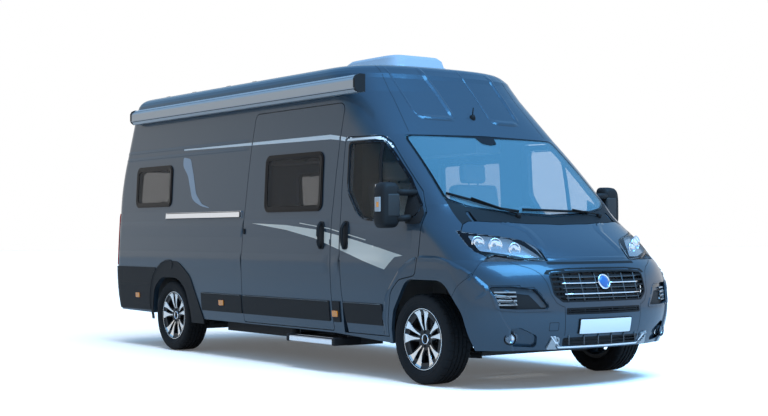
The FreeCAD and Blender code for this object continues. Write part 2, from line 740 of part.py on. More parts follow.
tail_lamp = skin(tail_lamp_region(), -6, lamp_depth)
keep("tail_lamps", Part.makeCompound([tail_lamp, flipped(tail_lamp)]))


# Floor, chassis and running gear
floor_low = size("floor_low")
floor_top = floor_low + size("floor_thick")
cab_floor = floor_low + 190
house_rear, house_front = ra - 378, ra + 382
house_inner = 745
toe_x = fa - 421
shelf_low, shelf_top = wheelhouse_top + 18, wheelhouse_top + 30
post_face = hinge_x - 25
rail_y, rail_half = size("rail_y"), size("rail_width") / 2
rail_low = size("rail_low")
rail_top = rail_low + size("rail_height")


def floor_pan():
    """Load floor with rear wheelhouses, raised cab floor, front wheelhouses and bulkhead."""
    floor = inside(cuboid((-3080, door_rear - 88), (-FAR, FAR), (floor_low, floor_top)), wall)
    floor = floor.cut(slide_frame())
    for sign in (-1, 1):
        well = sorted((sign * house_inner, sign * FAR))
        floor = floor.cut(cuboid((house_rear, house_front), well, (0, 600)))
    outer = inside(cuboid((house_rear, house_front), (-FAR, -house_inner), (floor_low, 772)), wall)
    inner = cuboid((house_rear + 12, house_front - 12), (-FAR, -house_inner - 12), (0, 760))
    well = outer.cut(inner)
    raised = cuboid((door_rear - 100, toe_x), (-900, 900), (cab_floor - 30, cab_floor))
    riser = cuboid((door_rear - 100, door_rear - 88), (-900, 900), (floor_low, cab_floor - 30))
    cheek = cuboid((door_rear - 100, toe_x), (-900, -880), (floor_low, cab_floor - 30))
    kick = cuboid((door_rear - 20, toe_x), (-900, -880), (330, floor_low))
    tread = inside(cuboid((door_rear - 20, toe_x - 20), (-FAR, -880), (315, 330)), wall)
    toe = cuboid((toe_x, toe_x + 12), (-900, 900), (cab_floor - 30, shelf_top))
    shelf = cuboid((toe_x + 12, post_face), (-838, 838), (shelf_low, shelf_top))
    wing_shelf = cuboid((post_face, fa + 478), (-838, -555), (shelf_low, shelf_top))
    stay = inside(cuboid((fa + 170, fa + 400), (-FAR, -830), (shelf_low, shelf_top)),
                  size("front_panel"))
    house_wall = cuboid((toe_x + 12, fa + 478), (-567, -555), (rail_top, shelf_low))
    house_front_wall = cuboid((fa + 466, fa + 478), (-838, -567), (rail_top, shelf_low))
    bulkhead = cuboid((post_face - 12, post_face), (-838, 838), (shelf_top, 1240))
    sides = [well, cheek, kick, tread, wing_shelf, stay, house_wall, house_front_wall]
    pieces = [raised, riser, toe, shelf, bulkhead] + sides + [flipped(piece) for piece in sides]
    return floor.fuse(pieces).removeSplitter()


def chassis_frame():
    """Two rails with cross members, a bumper beam and a towing cross member."""
    rail = cuboid((-3020, fa + 760), (-rail_y - rail_half, -rail_y + rail_half),
                  (rail_low, rail_top))
    inner = rail_y - rail_half
    pieces = [rail, flipped(rail)]
    for x in (-3020, -2440, ra - 500, ra + 700, -200, 650, door_rear):
        pieces.append(cuboid((x, x + 60), (-inner, inner), (rail_low + 20, rail_top - 10)))
    pieces.append(cuboid((fa + 240, fa + 460), (-inner, inner), (rail_top - 40, rail_top)))
    pieces.append(cuboid((fa + 656, fa + 730), (-inner, inner), (rail_low + 10, rail_low + 60)))
    pieces.append(cuboid((fa + 720, fa + 760), (-600, 600), (rail_top, rail_top + 100)))
    body = pieces[0].fuse(pieces[1:]).removeSplitter()
    for sign in (-1, 1):
        for x in tow_bolts:
            body = body.cut(Part.makeCylinder(6.5, 400, Vector(x, sign * rail_y, 200)))
    return body


tow_bolts = (-2960, -2860)


def arc_band(x, low_mid, low_end, thick, half_run_back, half_run_front):
    """A leaf spring in the side view: a band between two arcs."""
    def arc(lift):
        return Part.Arc(Vector(x - half_run_back, 0, low_end + lift),
                        Vector(x, 0, low_mid + lift),
                        Vector(x + half_run_front, 0, low_end + lift)).toShape()
    below, above = arc(0), arc(thick)
    start, end = below.Vertexes[0].Point, below.Vertexes[-1].Point
    rise = Vector(0, 0, thick)
    wire = Part.Wire(Part.__sortEdges__([below, above, Part.makeLine(start, start + rise),
                                         Part.makeLine(end, end + rise)]))
    return Part.Face(wire)


wheel_z = size("wheel_radius")
hub_y_front = size("track_front") / 2
hub_y_rear = size("track_rear") / 2
kingpin_y = hub_y_front - size("kingpin_inset")
hub_inset = size("hub_face")
spigot = 32


def across(radius, y_from, y_to, x, z):
    low, high = sorted((y_from, y_to))
    return Part.makeCylinder(radius, high - low, Vector(x, low, z), Vector(0, 1, 0))


def running_gear():
    """Front subframe with lower arms and struts; rear beam axle on leaf springs (right side)."""
    cradle = cuboid((fa - 190, fa + 170), (-545, 545), (205, 235))
    cradle = cradle.cut(cuboid((fa - 110, fa + 90), (-300, 300), (0, 400)))
    legs = [cuboid((fa - 190, fa - 110), (-rail_y - 35, -rail_y + 35), (235, rail_low)),
            cuboid((fa + 90, fa + 170), (-rail_y - 35, -rail_y + 35), (235, rail_low))]
    arm = plan_prism([(fa - 170, -530), (fa + 150, -530), (fa + 60, -575, 30),
                      (fa + 26, -kingpin_y + 10), (fa - 26, -kingpin_y + 10), (fa - 70, -575, 30)],
                     185, 210)
    ball = Part.makeCylinder(26, 30, Vector(fa, -kingpin_y, 185))
    strut = Part.makeCylinder(30, shelf_low - 500, Vector(fa, -kingpin_y + 75, 500))
    foot = cuboid((fa - 30, fa + 30), (-kingpin_y - 20, -kingpin_y + 75), (485.3, 512))
    whole = cradle.fuse([arm, ball] + legs + [flipped(piece) for piece in [arm, ball] + legs])
    column = strut.fuse(foot)
    beam = across(38, -660, 660, ra, wheel_z - 107)
    pieces = []
    for sign in (-1, 1):
        face = sign * (hub_y_rear + hub_inset - 5.3)
        low, high = sorted((sign * 645, sign * 705))
        pieces.append(cuboid((ra - 45, ra + 45), (low, high), (wheel_z - 145, wheel_z + 55)))
        pieces.append(across(48, sign * 700, face, ra, wheel_z))
        pieces.append(across(spigot, face, sign * (hub_y_rear + hub_inset + 14), ra, wheel_z))
        pieces.append(across(150, sign * (hub_y_rear - 60), sign * (hub_y_rear), ra, wheel_z))
        low, high = sorted((sign * 560, sign * 620))
        leaf = arc_band(ra, 277, 372, 22, 600, 700).extrude(Vector(0, high - low, 0))
        leaf.translate(Vector(0, low, 0))
        saddle = cuboid((ra - 50, ra + 50), (low, high), (wheel_z - 107, 305))
        ends = [cuboid((ra - 612, ra - 572), (low, high), (372, floor_low)),
                cuboid((ra + 672, ra + 712), (low, high), (372, floor_low))]
        pieces += [leaf, saddle] + ends
    rear = beam.fuse(pieces).removeSplitter()
    return Part.makeCompound([whole.removeSplitter(), column, flipped(column), rear])


def knuckle_right():
    """Upright with hub, spigot and brake disc; it turns about the vertical kingpin."""
    y = -hub_y_front
    face = y - hub_inset + 5.3
    upright = cuboid((fa - 30, fa + 30), (-kingpin_y - 20, -kingpin_y + 20), (215.3, 485))
    hub = across(60, -kingpin_y, face, fa, wheel_z)
    nose = across(spigot, face, y - hub_inset - 14, fa, wheel_z)
    disc = across(size("disc_radius"), y + 2, y + 26, fa, wheel_z)
    steer = plan_prism([(fa - 20, -kingpin_y + 15), (fa - 150, -kingpin_y + 75, 20),
                        (fa - 160, -kingpin_y + 95), (fa - 140, -kingpin_y + 100),
                        (fa - 10, -kingpin_y + 35)], 240, 262)
    return join(upright, hub, nose, disc, steer)


# Wheels: one rim and one tyre modelled about the Y axis, face towards +Y
def sketch_on(body, role, name):
    plane = [item for item in body.Origin.OriginFeatures if item.Role == role][0]
    sketch = body.newObject("Sketcher::SketchObject", name)
    sketch.AttachmentSupport = [(plane, "")]
    sketch.MapMode = "FlatFace"
    return sketch


def polygon(sketch, points):
    count = len(points)
    for index, point in enumerate(points):
        following = points[(index + 1) % count]
        sketch.addGeometry(Part.LineSegment(Vector(point[0], point[1], 0),
                                            Vector(following[0], following[1], 0)), False)


def revolved_body(name, points):
    body = doc.addObject("PartDesign::Body", name)
    sketch = sketch_on(body, "YZ_Plane", name + "_profile")
    polygon(sketch, points)
    turn = body.newObject("PartDesign::Revolution", name + "_turned")
    turn.Profile = sketch
    turn.ReferenceAxis = (sketch, ["H_Axis"])
    turn.Angle = 360
    body.Tip = turn
    return body


def rim_body():
    """Light-alloy rim: barrel, dished centre and five pairs of spokes."""
    half = size("rim_width") / 2
    lip, bead = size("rim_radius"), size("tyre_bead")
    hub, pad = size("hub_radius"), hub_inset
    profile = [(-half, lip), (-half + 7, lip), (-half + 7, bead), (-30, bead - 14),
               (30, bead - 14), (half - 7, bead), (half - 7, lip), (half, lip), (half, lip - 8),
               (half - 12, bead - 10), (pad + 36, 120), (pad + 26, hub), (pad + 22, spigot + 0.3),
               (pad - 5, spigot + 0.3), (pad - 5, hub), (pad + 8, 120), (half - 42, bead - 26),
               (20, bead - 26), (-40, bead - 26), (-half, bead - 10)]
    body = revolved_body("rim", profile)
    sketch = sketch_on(body, "XZ_Plane", "rim_window")
    turn = 360 / size("spokes")
    outlines = ((turn * 0.19, 92, 182, turn * 0.085), (turn * 0.67, 84, 186, turn * 0.235))
    for middle, low, high, half_angle in outlines:
        corners = []
        for radius, spread in ((low, half_angle * 0.55), (high, half_angle)):
            for sign in ((-1, 1) if radius == low else (1, -1)):
                angle = math.radians(middle + sign * spread)
                corners.append((radius * math.cos(angle), radius * math.sin(angle)))
        polygon(sketch, corners)
    window = body.newObject("PartDesign::Pocket", "rim_windows")
    window.Profile = sketch
    window.Type = 1
    window.Midplane = True
    pattern = body.newObject("PartDesign::PolarPattern", "rim_spokes")
    pattern.Originals = [window]
    pattern.Axis = (sketch, ["N_Axis"])
    pattern.Angle = 360
    pattern.Occurrences = int(size("spokes"))
    body.Tip = pattern
    doc.recompute()
    return body


def tyre_body():
    half, radius, bead = size("tyre_width") / 2, size("wheel_radius"), size("tyre_bead")
    seat = size("rim_width") / 2 - 7
    right = [(seat - 0.3, bead), (seat - 0.3, bead + 19), (half, bead + 54),
             (half - 7, radius - 16), (half - 24, radius)]
    left = [(16 - half, radius), (-half, radius - 50), (0.3 - seat, bead + 19), (0.3 - seat, bead)]
    body = revolved_body("tyre", right + left)
    doc.recompute()
    return body


def placed(shape, x, y, turned):
    copy = shape.copy()
    copy.Placement = Placement(Vector(x, y, wheel_z),
                               Rotation(Vector(0, 0, 1), 180 if turned else 0))
    return copy


# Steering wheel, seats and cabin
wheel_centre = Vector(1690, 430, 1215)
wheel_axis = Vector(-0.78, 0, 0.62).normalize()


def steering_wheel():
    """Rim, three spokes and hub, tilted towards the driver."""
    ring = [Vector(size("steering_wheel_radius") - 15 + 15 * math.cos(math.radians(turn)), 0,
                   15 * math.sin(math.radians(turn))) for turn in range(0, 361, 36)]
    rim = Part.Face(Part.makePolygon(ring)).revolve(Vector(), Vector(0, 0, 1), 360)
    hub = Part.makeCylinder(52, 34, Vector(0, 0, -30))
    spokes = [Part.makeBox(2 * (size("steering_wheel_radius") - 15), 30, 14,
                           Vector(-size("steering_wheel_radius") + 15, -15, -12)),
              Part.makeBox(size("steering_wheel_radius") - 15, 26, 14, Vector(0, -13, -12))]
    shape = join(rim, hub, *spokes)
    shape.Placement = Placement(wheel_centre, Rotation(Vector(0, 0, 1), wheel_axis))
    return shape


def dashboard():
    profile = [(1930, shelf_top), (1860, 1060), (1890, 1180, 40), (2010, 1228, 60),
               (post_face - 12, 1240), (post_face - 12, shelf_top)]
    body = side_prism(profile, -815, 815)
    shaft = Part.makeCylinder(34, 300, wheel_centre - wheel_axis * 30.3, wheel_axis * -1)
    return join(body, shaft)


def cab_seat():
    """Base, cushion, backrest and headrest of the right cab seat."""
    base = cuboid((1190, 1480), (-640, -220), (cab_floor, 850))
    cushion = side_prism([(1160, 850), (1150, 960, 30), (1560, 985, 40), (1570, 890, 40),
                          (1500, 850)], -680, -180)
    back = side_prism([(1165, 955), (1290, 965, 20), (1180, 1560, 50), (1060, 1560, 50)],
                      -670, -190)
    head = side_prism([(1075, 1575, 20), (1050, 1740, 40), (1145, 1745, 40), (1170, 1575, 20)],
                      -550, -310)
    stems = cuboid((1110, 1126), (-480, -464), (1555, 1580))
    return join(base, cushion, back, head, stems, cuboid((1110, 1126), (-396, -380), (1555, 1580)))


def furniture():
    """Kitchen block, tall cupboard, dinette bench with table, overhead lockers."""
    kitchen = cuboid((-400, 380), (-880, -420), (floor_top, 1330))
    kitchen = kitchen.cut(cuboid((-340, 40), (-820, -500), (1180, 1400)))
    wardrobe = inside(cuboid((-1140, -480), (360, FAR), (floor_top, 2150)), wall)
    bench = inside(cuboid((40, 620), (330, FAR), (floor_top, 900)), wall)
    bench_back = inside(cuboid((-80, 40), (330, FAR), (floor_top, 1500)), wall)
    leg = Part.makeCylinder(35, 1130 - floor_top, Vector(880, 560, floor_top))
    table = plan_prism([(700, 320, 60), (1020, 320, 60), (1020, 880, 20), (700, 880, 20)],
                       1130, 1160)
    locker = inside(cuboid((-1100, 900), (640, FAR), (1860, 2215)), wall)
    locker_right = inside(cuboid((-2780, -500), (-FAR, -640), (1900, 2215)), wall)
    return Part.makeCompound([kitchen, wardrobe, join(bench, bench_back), join(leg, table),
                              locker.cut(wardrobe), locker_right, flipped(locker_right).cut(
                                  cuboid((-1200, 0), (0, FAR), (1800, 2300)))])


def bed():
    """Mattress across the rear on two locker boxes."""
    box = cuboid((-2960, -1220), (-735, -400), (floor_top, 860))
    board = cuboid((-3000, -1200), (-900, 900), (860, 880))
    mattress = inside(cuboid((-3040, -1190), (-FAR, FAR), (880, 1000)), wall + 20)
    return Part.makeCompound([join(box, flipped(box), board), mattress])


def step_frame():
    """Two channels under the floor that guide the step."""
    rear, front = size("step_rear"), size("step_front")
    low = size("step_low")
    top = low + size("step_thick")
    channel = cuboid((rear, rear + 8), (-915, -560), (low - 8, floor_low))
    for z in ((low - 8, low - 0.3), (top + 0.3, top + 8)):
        channel = channel.fuse(cuboid((rear + 8, rear + 38), (-915, -560), z))
    other = channel.mirror(Vector((rear + front) / 2, 0, 0), Vector(1, 0, 0))
    tie_bar = cuboid((rear + 8, front - 8), (-590, -560), (top + 8, top + 60))
    return join(channel.removeSplitter(), other.removeSplitter(), tie_bar)


def step_tread():
    rear, front = size("step_rear") + 9, size("step_front") - 9
    low = size("step_low")
    outer = size("step_out")
    tread = plan_prism([(rear, -outer + size("step_depth")), (rear, -outer, 30),
                        (front, -outer, 30), (front, -outer + size("step_depth"))],
                       low, low + size("step_thick"))
    return tread.cut(plan_prism([(rear + 60, -outer + 60, 10), (front - 60, -outer + 60, 10),
                                 (front - 60, -outer + 250, 10), (rear + 60, -outer + 250, 10)],
                                low - 1, low + size("step_thick") - 14))


def mirror_right():
    """Door mirror: two-part head on two arms that spring from a foot on the door."""
    head = cuboid((1975, 2085), (-1250, -1070), (1176, 1527))
    head = head.makeFillet(28, head.Edges)
    foot = skin(side_prism([(2060, 1470), (2185, 1300), (2100, 1215), (2040, 1260)], -FAR, 0),
                -14, 0)
    arms = []
    for level, root in ((1448, -930), (1250, -990)):
        arm = plan_prism([(2075, root), (2130, root), (2085, -1100), (2040, -1100)],
                         level - 22, level + 22)
        arms.append(arm)
    arms_all = arms[0].fuse(arms[1]).cut(zone_solid("lip", "base", 0))
    arms_all = arms_all.cut(zone_solid("base", "header", 0))
    return head.fuse([foot, arms_all]).removeSplitter()


def awning():
    """Cassette awning on three brackets beside the roof."""
    low, rise = size("awning_low"), size("awning_height")
    rear, front = size("awning_rear"), size("awning_front")
    outer = 1045
    inner = outer - size("awning_depth") + 5
    profile = [(-inner, low + 6), (-outer + 30, low, 12), (-outer, low + 30, 20),
               (-outer, low + rise - 40, 30), (-outer + 45, low + rise, 30),
               (-inner, low + rise, 8)]
    case = front_prism(profile, rear, front)
    for x in (rear + 200, (rear + front) / 2 - 200, front - 620):
        bracket = cuboid((x, x + 180), (-inner, -860), (low + 35, low + rise - 10))
        case = case.fuse(bracket)
    return case.cut(zone_solid("header", "cap", 0)).cut(zone_solid("cap", "top", 0)).removeSplitter()


# Dark mouldings
rear_flare = [(ra - 440, 100), (ra - 440, 500, 120), (ra - 350, 760, 200), (ra - 120, 876, 260),
              (ra + 180, 876, 260), (ra + 420, 734, 200), (ra + 560, 500, 100), (ra + 640, 335),
              (ra + 640, 100)]


def side_strip(low_x, high_x, low_z=strip_low, high_z=strip_high):
    return side_prism([(low_x, low_z, 12), (low_x, high_z, 12), (high_x, high_z, 12),
                       (high_x, low_z, 12)], -FAR, 0)


def lower_cladding():
    """Mouldings along the sides, round the arches and over the rear corners."""
    keep_clear = side_prism(slide_door, -FAR, 0, gap)
    rear_trim = side_prism(rear_flare, -FAR, 0).cut(side_prism(rear_arch, -FAR, 0))
    quarter = side_prism([(-FAR, 376), (-FAR, 807), (ra - 300, 807, 20), (ra - 300, 376)], -FAR, 0)
    quarter = quarter.cut(side_prism(rear_flare, -FAR, 0)).cut(
        cuboid((-FAR, 0), (-868, 0), (512, FAR)))
    quarter = quarter.fuse(rear_trim).cut(cuboid((-FAR, 0), (0, FAR), (0, FAR)))
    right = skin(quarter, -proud, 0)
    middle = skin(side_strip(house_front + 250, slide_rear - 12), -proud, 0).cut(keep_clear)
    pillar = side_strip(slide_front + 40, door_rear - 8, strip_low, strip_high - 90)
    pillar = skin(pillar, -proud, 0).cut(keep_clear).cut(side_prism(cab_door, -FAR, 0, gap))
    on_slide = skin(side_strip(slide_rear + 12, slide_front - 12).common(
        side_prism(slide_door, -FAR, 0, -6)), -proud, 0)
    rear_bar = skin(cuboid((-FAR, -2800), (-850, 850), (376, 505)), -proud, 0)
    left_middle = skin(side_strip(house_front + 250, door_rear - 8), -proud, 0).cut(
        side_prism(cab_door, -FAR, 0, gap))
    return Part.makeCompound([join(right, flipped(right), rear_bar), middle, pillar, on_slide,
                              flipped(left_middle)])


def door_trim_right():
    strip = side_strip(door_rear + 12, fa - 471)
    strip = strip.common(side_prism(cab_door, -FAR, 0, -5)).cut(side_prism(flare, -FAR, 0))
    return largest(skin(strip, -proud, 0))


# Nose
def slatted(hole, levels, depth, thick, ribs=()):
    """A frame that lines an opening, with level slats and upright ribs."""
    whole = front_prism(hole, nose_x, FAR)
    frame = skin(whole.cut(front_prism(hole, nose_x, FAR, -14)), 0, 26)
    slats = Part.makeCompound([cuboid((nose_x, FAR), (-900, 900), (z - thick / 2, z + thick / 2))
                               for z in levels])
    pieces = [skin(whole, 3, depth).common(slats)]
    if ribs:
        uprights = Part.makeCompound([cuboid((nose_x, FAR), (y - 4, y + 4), (200, 900))
                                      for y in ribs])
        pieces.append(skin(whole, depth, 26).common(uprights))
    return frame.fuse(pieces).removeSplitter()


def grille():
    main = slatted(both(grille_half), (676, 712, 748, 784, 820), 20, 14, range(-385, 386, 110))
    slot = slatted(both(slot_half), (569,), 22, 8)
    low = slatted(both(lower_grille_half), (346,), 22, 8)
    return Part.makeCompound([main, slot, low])


def bumper_inserts():
    """Slatted intakes and fog lamps behind the openings beside the grille."""
    panel = size("front_panel")
    back = skin(front_prism(intake, nose_x, FAR, 9), panel, panel + 6)
    for z in (622, 652, 682, 712):
        band = front_prism(intake, nose_x, FAR).common(
            cuboid((nose_x, FAR), (-868, -735), (z - 5, z + 5)))
        back = back.fuse(skin(band, 8, panel + 3))
    pocket = skin(front_prism(fog_recess, nose_x, FAR, 9), panel, panel + 8)
    lens = Part.makeCylinder(42, 120, Vector(2900, -760, 380), Vector(1, 0, 0))
    pocket = pocket.fuse(skin(lens, 6, panel + 4))
    return Part.makeCompound([back, pocket, flipped(back), flipped(pocket)])


def front_lip():
    """The bright lip below the lower grille."""
    shape = [(0, 300), (-400, 300, 10), (-490, 392), (-452, 392), (-395, 312, 10), (0, 312)]
    return skin(front_prism(both(shape), nose_x, FAR), -5, 0)


def door_rail():
    return skin(side_prism([(-1907, 1285, 12), (-1907, 1345, 12), (slide_rear - 24, 1345, 12),
                            (slide_rear - 24, 1285, 12)], -FAR, 0), -14, 0)


keep("floor_pan", floor_pan())
keep("chassis_frame", chassis_frame())
keep("running_gear", running_gear())
knuckle = knuckle_right()
keep("knuckle_right", knuckle)
keep("knuckle_left", flipped(knuckle))
rim, tyre = rim_body().Shape, tyre_body().Shape
corners = {"front_right": (fa, -hub_y_front), "front_left": (fa, hub_y_front),
           "rear_right": (ra, -hub_y_rear), "rear_left": (ra, hub_y_rear)}
for corner, (x, y) in corners.items():
    keep("rim_" + corner, placed(rim, x, y, y < 0))
    keep("tyre_" + corner, placed(tyre, x, y, y < 0))
keep("engine", cuboid((fa + 150, fa + 600), (-300, 300), (rail_top, 940)))
keep("radiator", cuboid((fa + 668, fa + 718), (-350, 350), (rail_low + 60, 850)))
tank = plan_prism([(-1000, 490, 40), (-1000, 840, 40), (900, 840, 40), (900, 490, 40)],
                  225, floor_low)
water = plan_prism([(-1000, -840, 40), (-1000, -490, 40), (200, -490, 40), (200, -840, 40)],
                   235, floor_low)
keep("tanks", Part.makeCompound([tank, water]))
keep("steering_wheel", steering_wheel())
keep("dashboard", dashboard())
keep("cab_seats", pair(cab_seat()))
keep("furniture", furniture())
keep("bed", bed())
keep("step_frame", step_frame())
keep("step_tread", step_tread())
door_mirror = mirror_right()
keep("mirror_right", door_mirror)
keep("mirror_left", flipped(door_mirror))
keep("awning", awning())
keep("door_rail", door_rail())
keep("lower_cladding", lower_cladding())
trim = door_trim_right()
keep("door_trim_right", trim)
keep("door_trim_left", flipped(trim))
keep("grille", grille())
keep("bumper_inserts", bumper_inserts())
keep("front_lip", front_lip())


def write_parts():
    doc.recompute()
    for thing in doc.Objects:
        if "Invalid" in thing.State or "Error" in thing.State:
            raise RuntimeError(f"{thing.Label}: {thing.State}")
    for node in nodes:
        if node.Shape.isNull() or not node.Shape.isValid():
            raise RuntimeError(f"{node.Label}: bad shape")
        node.Shape.exportStep(f"parts/{node.Label}.step")
        print(node.Label, len(node.Shape.Solids), round(node.Shape.Volume / 1e6, 2))


write_parts()
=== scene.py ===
import json
import math

import bmesh
import bpy
import numpy as np
from mathutils import Matrix, Vector
from mathutils.bvhtree import BVHTree
from mathutils.geometry import delaunay_2d_cdt
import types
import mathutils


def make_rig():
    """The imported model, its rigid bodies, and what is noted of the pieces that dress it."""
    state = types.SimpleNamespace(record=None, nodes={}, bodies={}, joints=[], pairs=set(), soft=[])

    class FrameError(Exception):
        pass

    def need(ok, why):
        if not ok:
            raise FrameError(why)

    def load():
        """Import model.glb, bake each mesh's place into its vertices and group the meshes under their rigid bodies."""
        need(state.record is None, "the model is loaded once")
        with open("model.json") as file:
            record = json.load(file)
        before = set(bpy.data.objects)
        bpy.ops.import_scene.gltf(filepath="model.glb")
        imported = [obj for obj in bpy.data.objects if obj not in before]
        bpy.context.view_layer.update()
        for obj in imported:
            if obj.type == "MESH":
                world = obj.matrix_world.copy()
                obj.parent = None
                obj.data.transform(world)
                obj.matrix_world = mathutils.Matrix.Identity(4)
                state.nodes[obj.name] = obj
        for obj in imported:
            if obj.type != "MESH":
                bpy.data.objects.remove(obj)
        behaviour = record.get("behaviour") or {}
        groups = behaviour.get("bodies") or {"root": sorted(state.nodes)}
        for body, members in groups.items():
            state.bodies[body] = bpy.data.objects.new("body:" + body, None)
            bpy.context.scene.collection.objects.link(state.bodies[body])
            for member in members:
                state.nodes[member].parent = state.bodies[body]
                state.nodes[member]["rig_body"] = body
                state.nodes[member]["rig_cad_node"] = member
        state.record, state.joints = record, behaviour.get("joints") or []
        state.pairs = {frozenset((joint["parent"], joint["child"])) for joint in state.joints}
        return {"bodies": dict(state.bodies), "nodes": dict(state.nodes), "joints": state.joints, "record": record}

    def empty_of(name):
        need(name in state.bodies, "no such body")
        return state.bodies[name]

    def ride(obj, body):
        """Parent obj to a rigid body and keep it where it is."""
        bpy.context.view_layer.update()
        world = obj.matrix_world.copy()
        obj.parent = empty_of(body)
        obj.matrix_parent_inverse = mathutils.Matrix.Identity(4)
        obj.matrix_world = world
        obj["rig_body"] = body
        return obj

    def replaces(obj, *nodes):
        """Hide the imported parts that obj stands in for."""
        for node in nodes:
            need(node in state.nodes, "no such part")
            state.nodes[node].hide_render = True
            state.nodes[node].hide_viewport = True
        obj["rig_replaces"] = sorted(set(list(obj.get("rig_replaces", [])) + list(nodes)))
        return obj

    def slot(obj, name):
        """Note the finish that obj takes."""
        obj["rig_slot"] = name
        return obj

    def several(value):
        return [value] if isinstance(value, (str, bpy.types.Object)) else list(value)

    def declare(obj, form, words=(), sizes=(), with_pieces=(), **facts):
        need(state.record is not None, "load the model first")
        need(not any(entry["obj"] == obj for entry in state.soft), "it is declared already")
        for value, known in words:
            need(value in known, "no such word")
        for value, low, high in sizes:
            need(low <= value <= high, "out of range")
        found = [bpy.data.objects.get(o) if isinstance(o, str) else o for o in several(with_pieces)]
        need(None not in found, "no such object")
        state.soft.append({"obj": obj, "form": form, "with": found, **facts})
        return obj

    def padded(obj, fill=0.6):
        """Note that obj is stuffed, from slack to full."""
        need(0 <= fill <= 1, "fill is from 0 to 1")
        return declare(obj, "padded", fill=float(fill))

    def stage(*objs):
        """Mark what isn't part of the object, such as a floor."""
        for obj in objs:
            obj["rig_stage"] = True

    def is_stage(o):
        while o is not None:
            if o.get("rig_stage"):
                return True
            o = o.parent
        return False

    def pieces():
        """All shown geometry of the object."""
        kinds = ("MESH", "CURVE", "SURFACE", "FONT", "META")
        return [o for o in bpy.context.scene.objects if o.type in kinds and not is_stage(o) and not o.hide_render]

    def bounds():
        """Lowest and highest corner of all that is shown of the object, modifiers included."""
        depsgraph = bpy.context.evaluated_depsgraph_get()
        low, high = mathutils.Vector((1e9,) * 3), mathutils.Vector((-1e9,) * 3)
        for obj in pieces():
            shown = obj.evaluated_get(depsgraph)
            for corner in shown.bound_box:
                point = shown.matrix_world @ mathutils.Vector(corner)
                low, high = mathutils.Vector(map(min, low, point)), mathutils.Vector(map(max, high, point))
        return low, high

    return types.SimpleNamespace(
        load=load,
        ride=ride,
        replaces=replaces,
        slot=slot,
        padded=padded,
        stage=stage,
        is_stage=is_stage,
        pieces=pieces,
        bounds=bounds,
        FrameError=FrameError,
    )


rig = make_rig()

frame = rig.load()
nodes = frame["nodes"]
scene = bpy.context.scene


def note_size(key):
    """Keeps the size of what is shown, before and after the details, in a small file."""
    try:
        kept = json.load(open("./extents.json"))
    except (OSError, ValueError):
        kept = {}
    low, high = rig.bounds()
    kept[key] = [[float(v) for v in low], [float(v) for v in high]]
    json.dump(kept, open("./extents.json", "w"))


note_size("frame")

FRONT_AXLE = 2.2335
REAR_AXLE = -1.8015
WHEEL_Z = 0.342

# Materials


def material(name, color, rough=0.5, metal=0.0, coat=0.0, alpha=1.0, specular=0.5):
    made = bpy.data.materials.new(name)
    made.use_nodes = True
    inputs = made.node_tree.nodes["Principled BSDF"].inputs
    inputs["Base Color"].default_value = (*color, 1.0)
    for key, value in (("Roughness", rough), ("Metallic", metal), ("Coat Weight", coat),
                       ("Coat Roughness", 0.04), ("Alpha", alpha), ("IOR", 1.45),
                       ("Specular IOR Level", specular)):
        inputs[key].default_value = value
    return made


PAINT = material("paint_blue_grey", (0.038, 0.060, 0.083), rough=0.33, metal=0.45, coat=0.45,
                 specular=0.1)
DARK = material("dark_plastic", (0.016, 0.016, 0.017), rough=0.55, specular=0.14)
BLACK = material("black_gap", (0.008, 0.008, 0.009), rough=0.6, specular=0.2)
GLOSS_BLACK = material("gloss_black", (0.005, 0.005, 0.006), rough=0.2, specular=0.12)
PRIVACY = material("tinted_window", (0.008, 0.012, 0.016), rough=0.06, alpha=0.46, specular=0.25)
CLEAR = material("cab_glass", (0.008, 0.014, 0.016), rough=0.03, alpha=0.30, specular=0.35)
# Painted reflection: the windscreen's blue stands for the sky mirrored in the glass.
SCREEN_PAINTED_SKY = material("windscreen_painted_sky", (0.10, 0.25, 0.34), rough=0.04, alpha=0.31, coat=0.8)
RUBBER = material("tyre_rubber", (0.012, 0.012, 0.013), rough=0.75, specular=0.18)
ALLOY = material("machined_alloy", (0.72, 0.71, 0.69), rough=0.22, metal=0.9)
RIM_DARK = material("rim_dark", (0.012, 0.012, 0.013), rough=0.4, specular=0.3)
STEEL = material("steel", (0.45, 0.45, 0.46), rough=0.35, metal=1.0)
CAST = material("cast_metal", (0.11, 0.11, 0.115), rough=0.6, metal=0.6)
CHASSIS = material("chassis_black", (0.02, 0.02, 0.021), rough=0.6)
SILVER = material("awning_silver", (0.34, 0.35, 0.36), rough=0.38, metal=0.6)
BRIGHT = material("bright_trim", (0.72, 0.73, 0.75), rough=0.2, metal=0.9)
LAMP_CLEAR = material("lamp_lens", (0.55, 0.62, 0.70), rough=0.04, alpha=0.16, coat=0.6)
REFLECTOR = material("reflector", (0.80, 0.82, 0.86), rough=0.12, metal=1.0)
LAMP_RED = material("lamp_red", (0.55, 0.012, 0.012), rough=0.12, coat=0.6)
LAMP_WHITE = material("lamp_white", (0.75, 0.76, 0.78), rough=0.15, coat=0.5)
MIRROR_LAMP = material("mirror_lamp_lens", (0.34, 0.36, 0.38), rough=0.2, coat=0.4)
AMBER = material("amber", (0.85, 0.27, 0.02), rough=0.2, coat=0.4)
LAMP_FLOOR = material("lamp_floor", (0.20, 0.21, 0.23), rough=0.25, metal=0.9)
CHROME = material("chrome", (0.85, 0.85, 0.86), rough=0.08, metal=1.0)
ROOFLIGHT = material("rooflight_plastic", (0.25, 0.31, 0.38), rough=0.25, alpha=0.92)
FABRIC = material("seat_fabric", (0.52, 0.48, 0.42), rough=0.9)
BOARD = material("furniture_board", (0.58, 0.53, 0.45), rough=0.5)
FLOOR_GREY = material("floor_covering", (0.16, 0.15, 0.14), rough=0.7)
DASH = material("dash_plastic", (0.035, 0.035, 0.038), rough=0.7)
WHITE = material("white_decal", (0.66, 0.67, 0.67), rough=0.35)
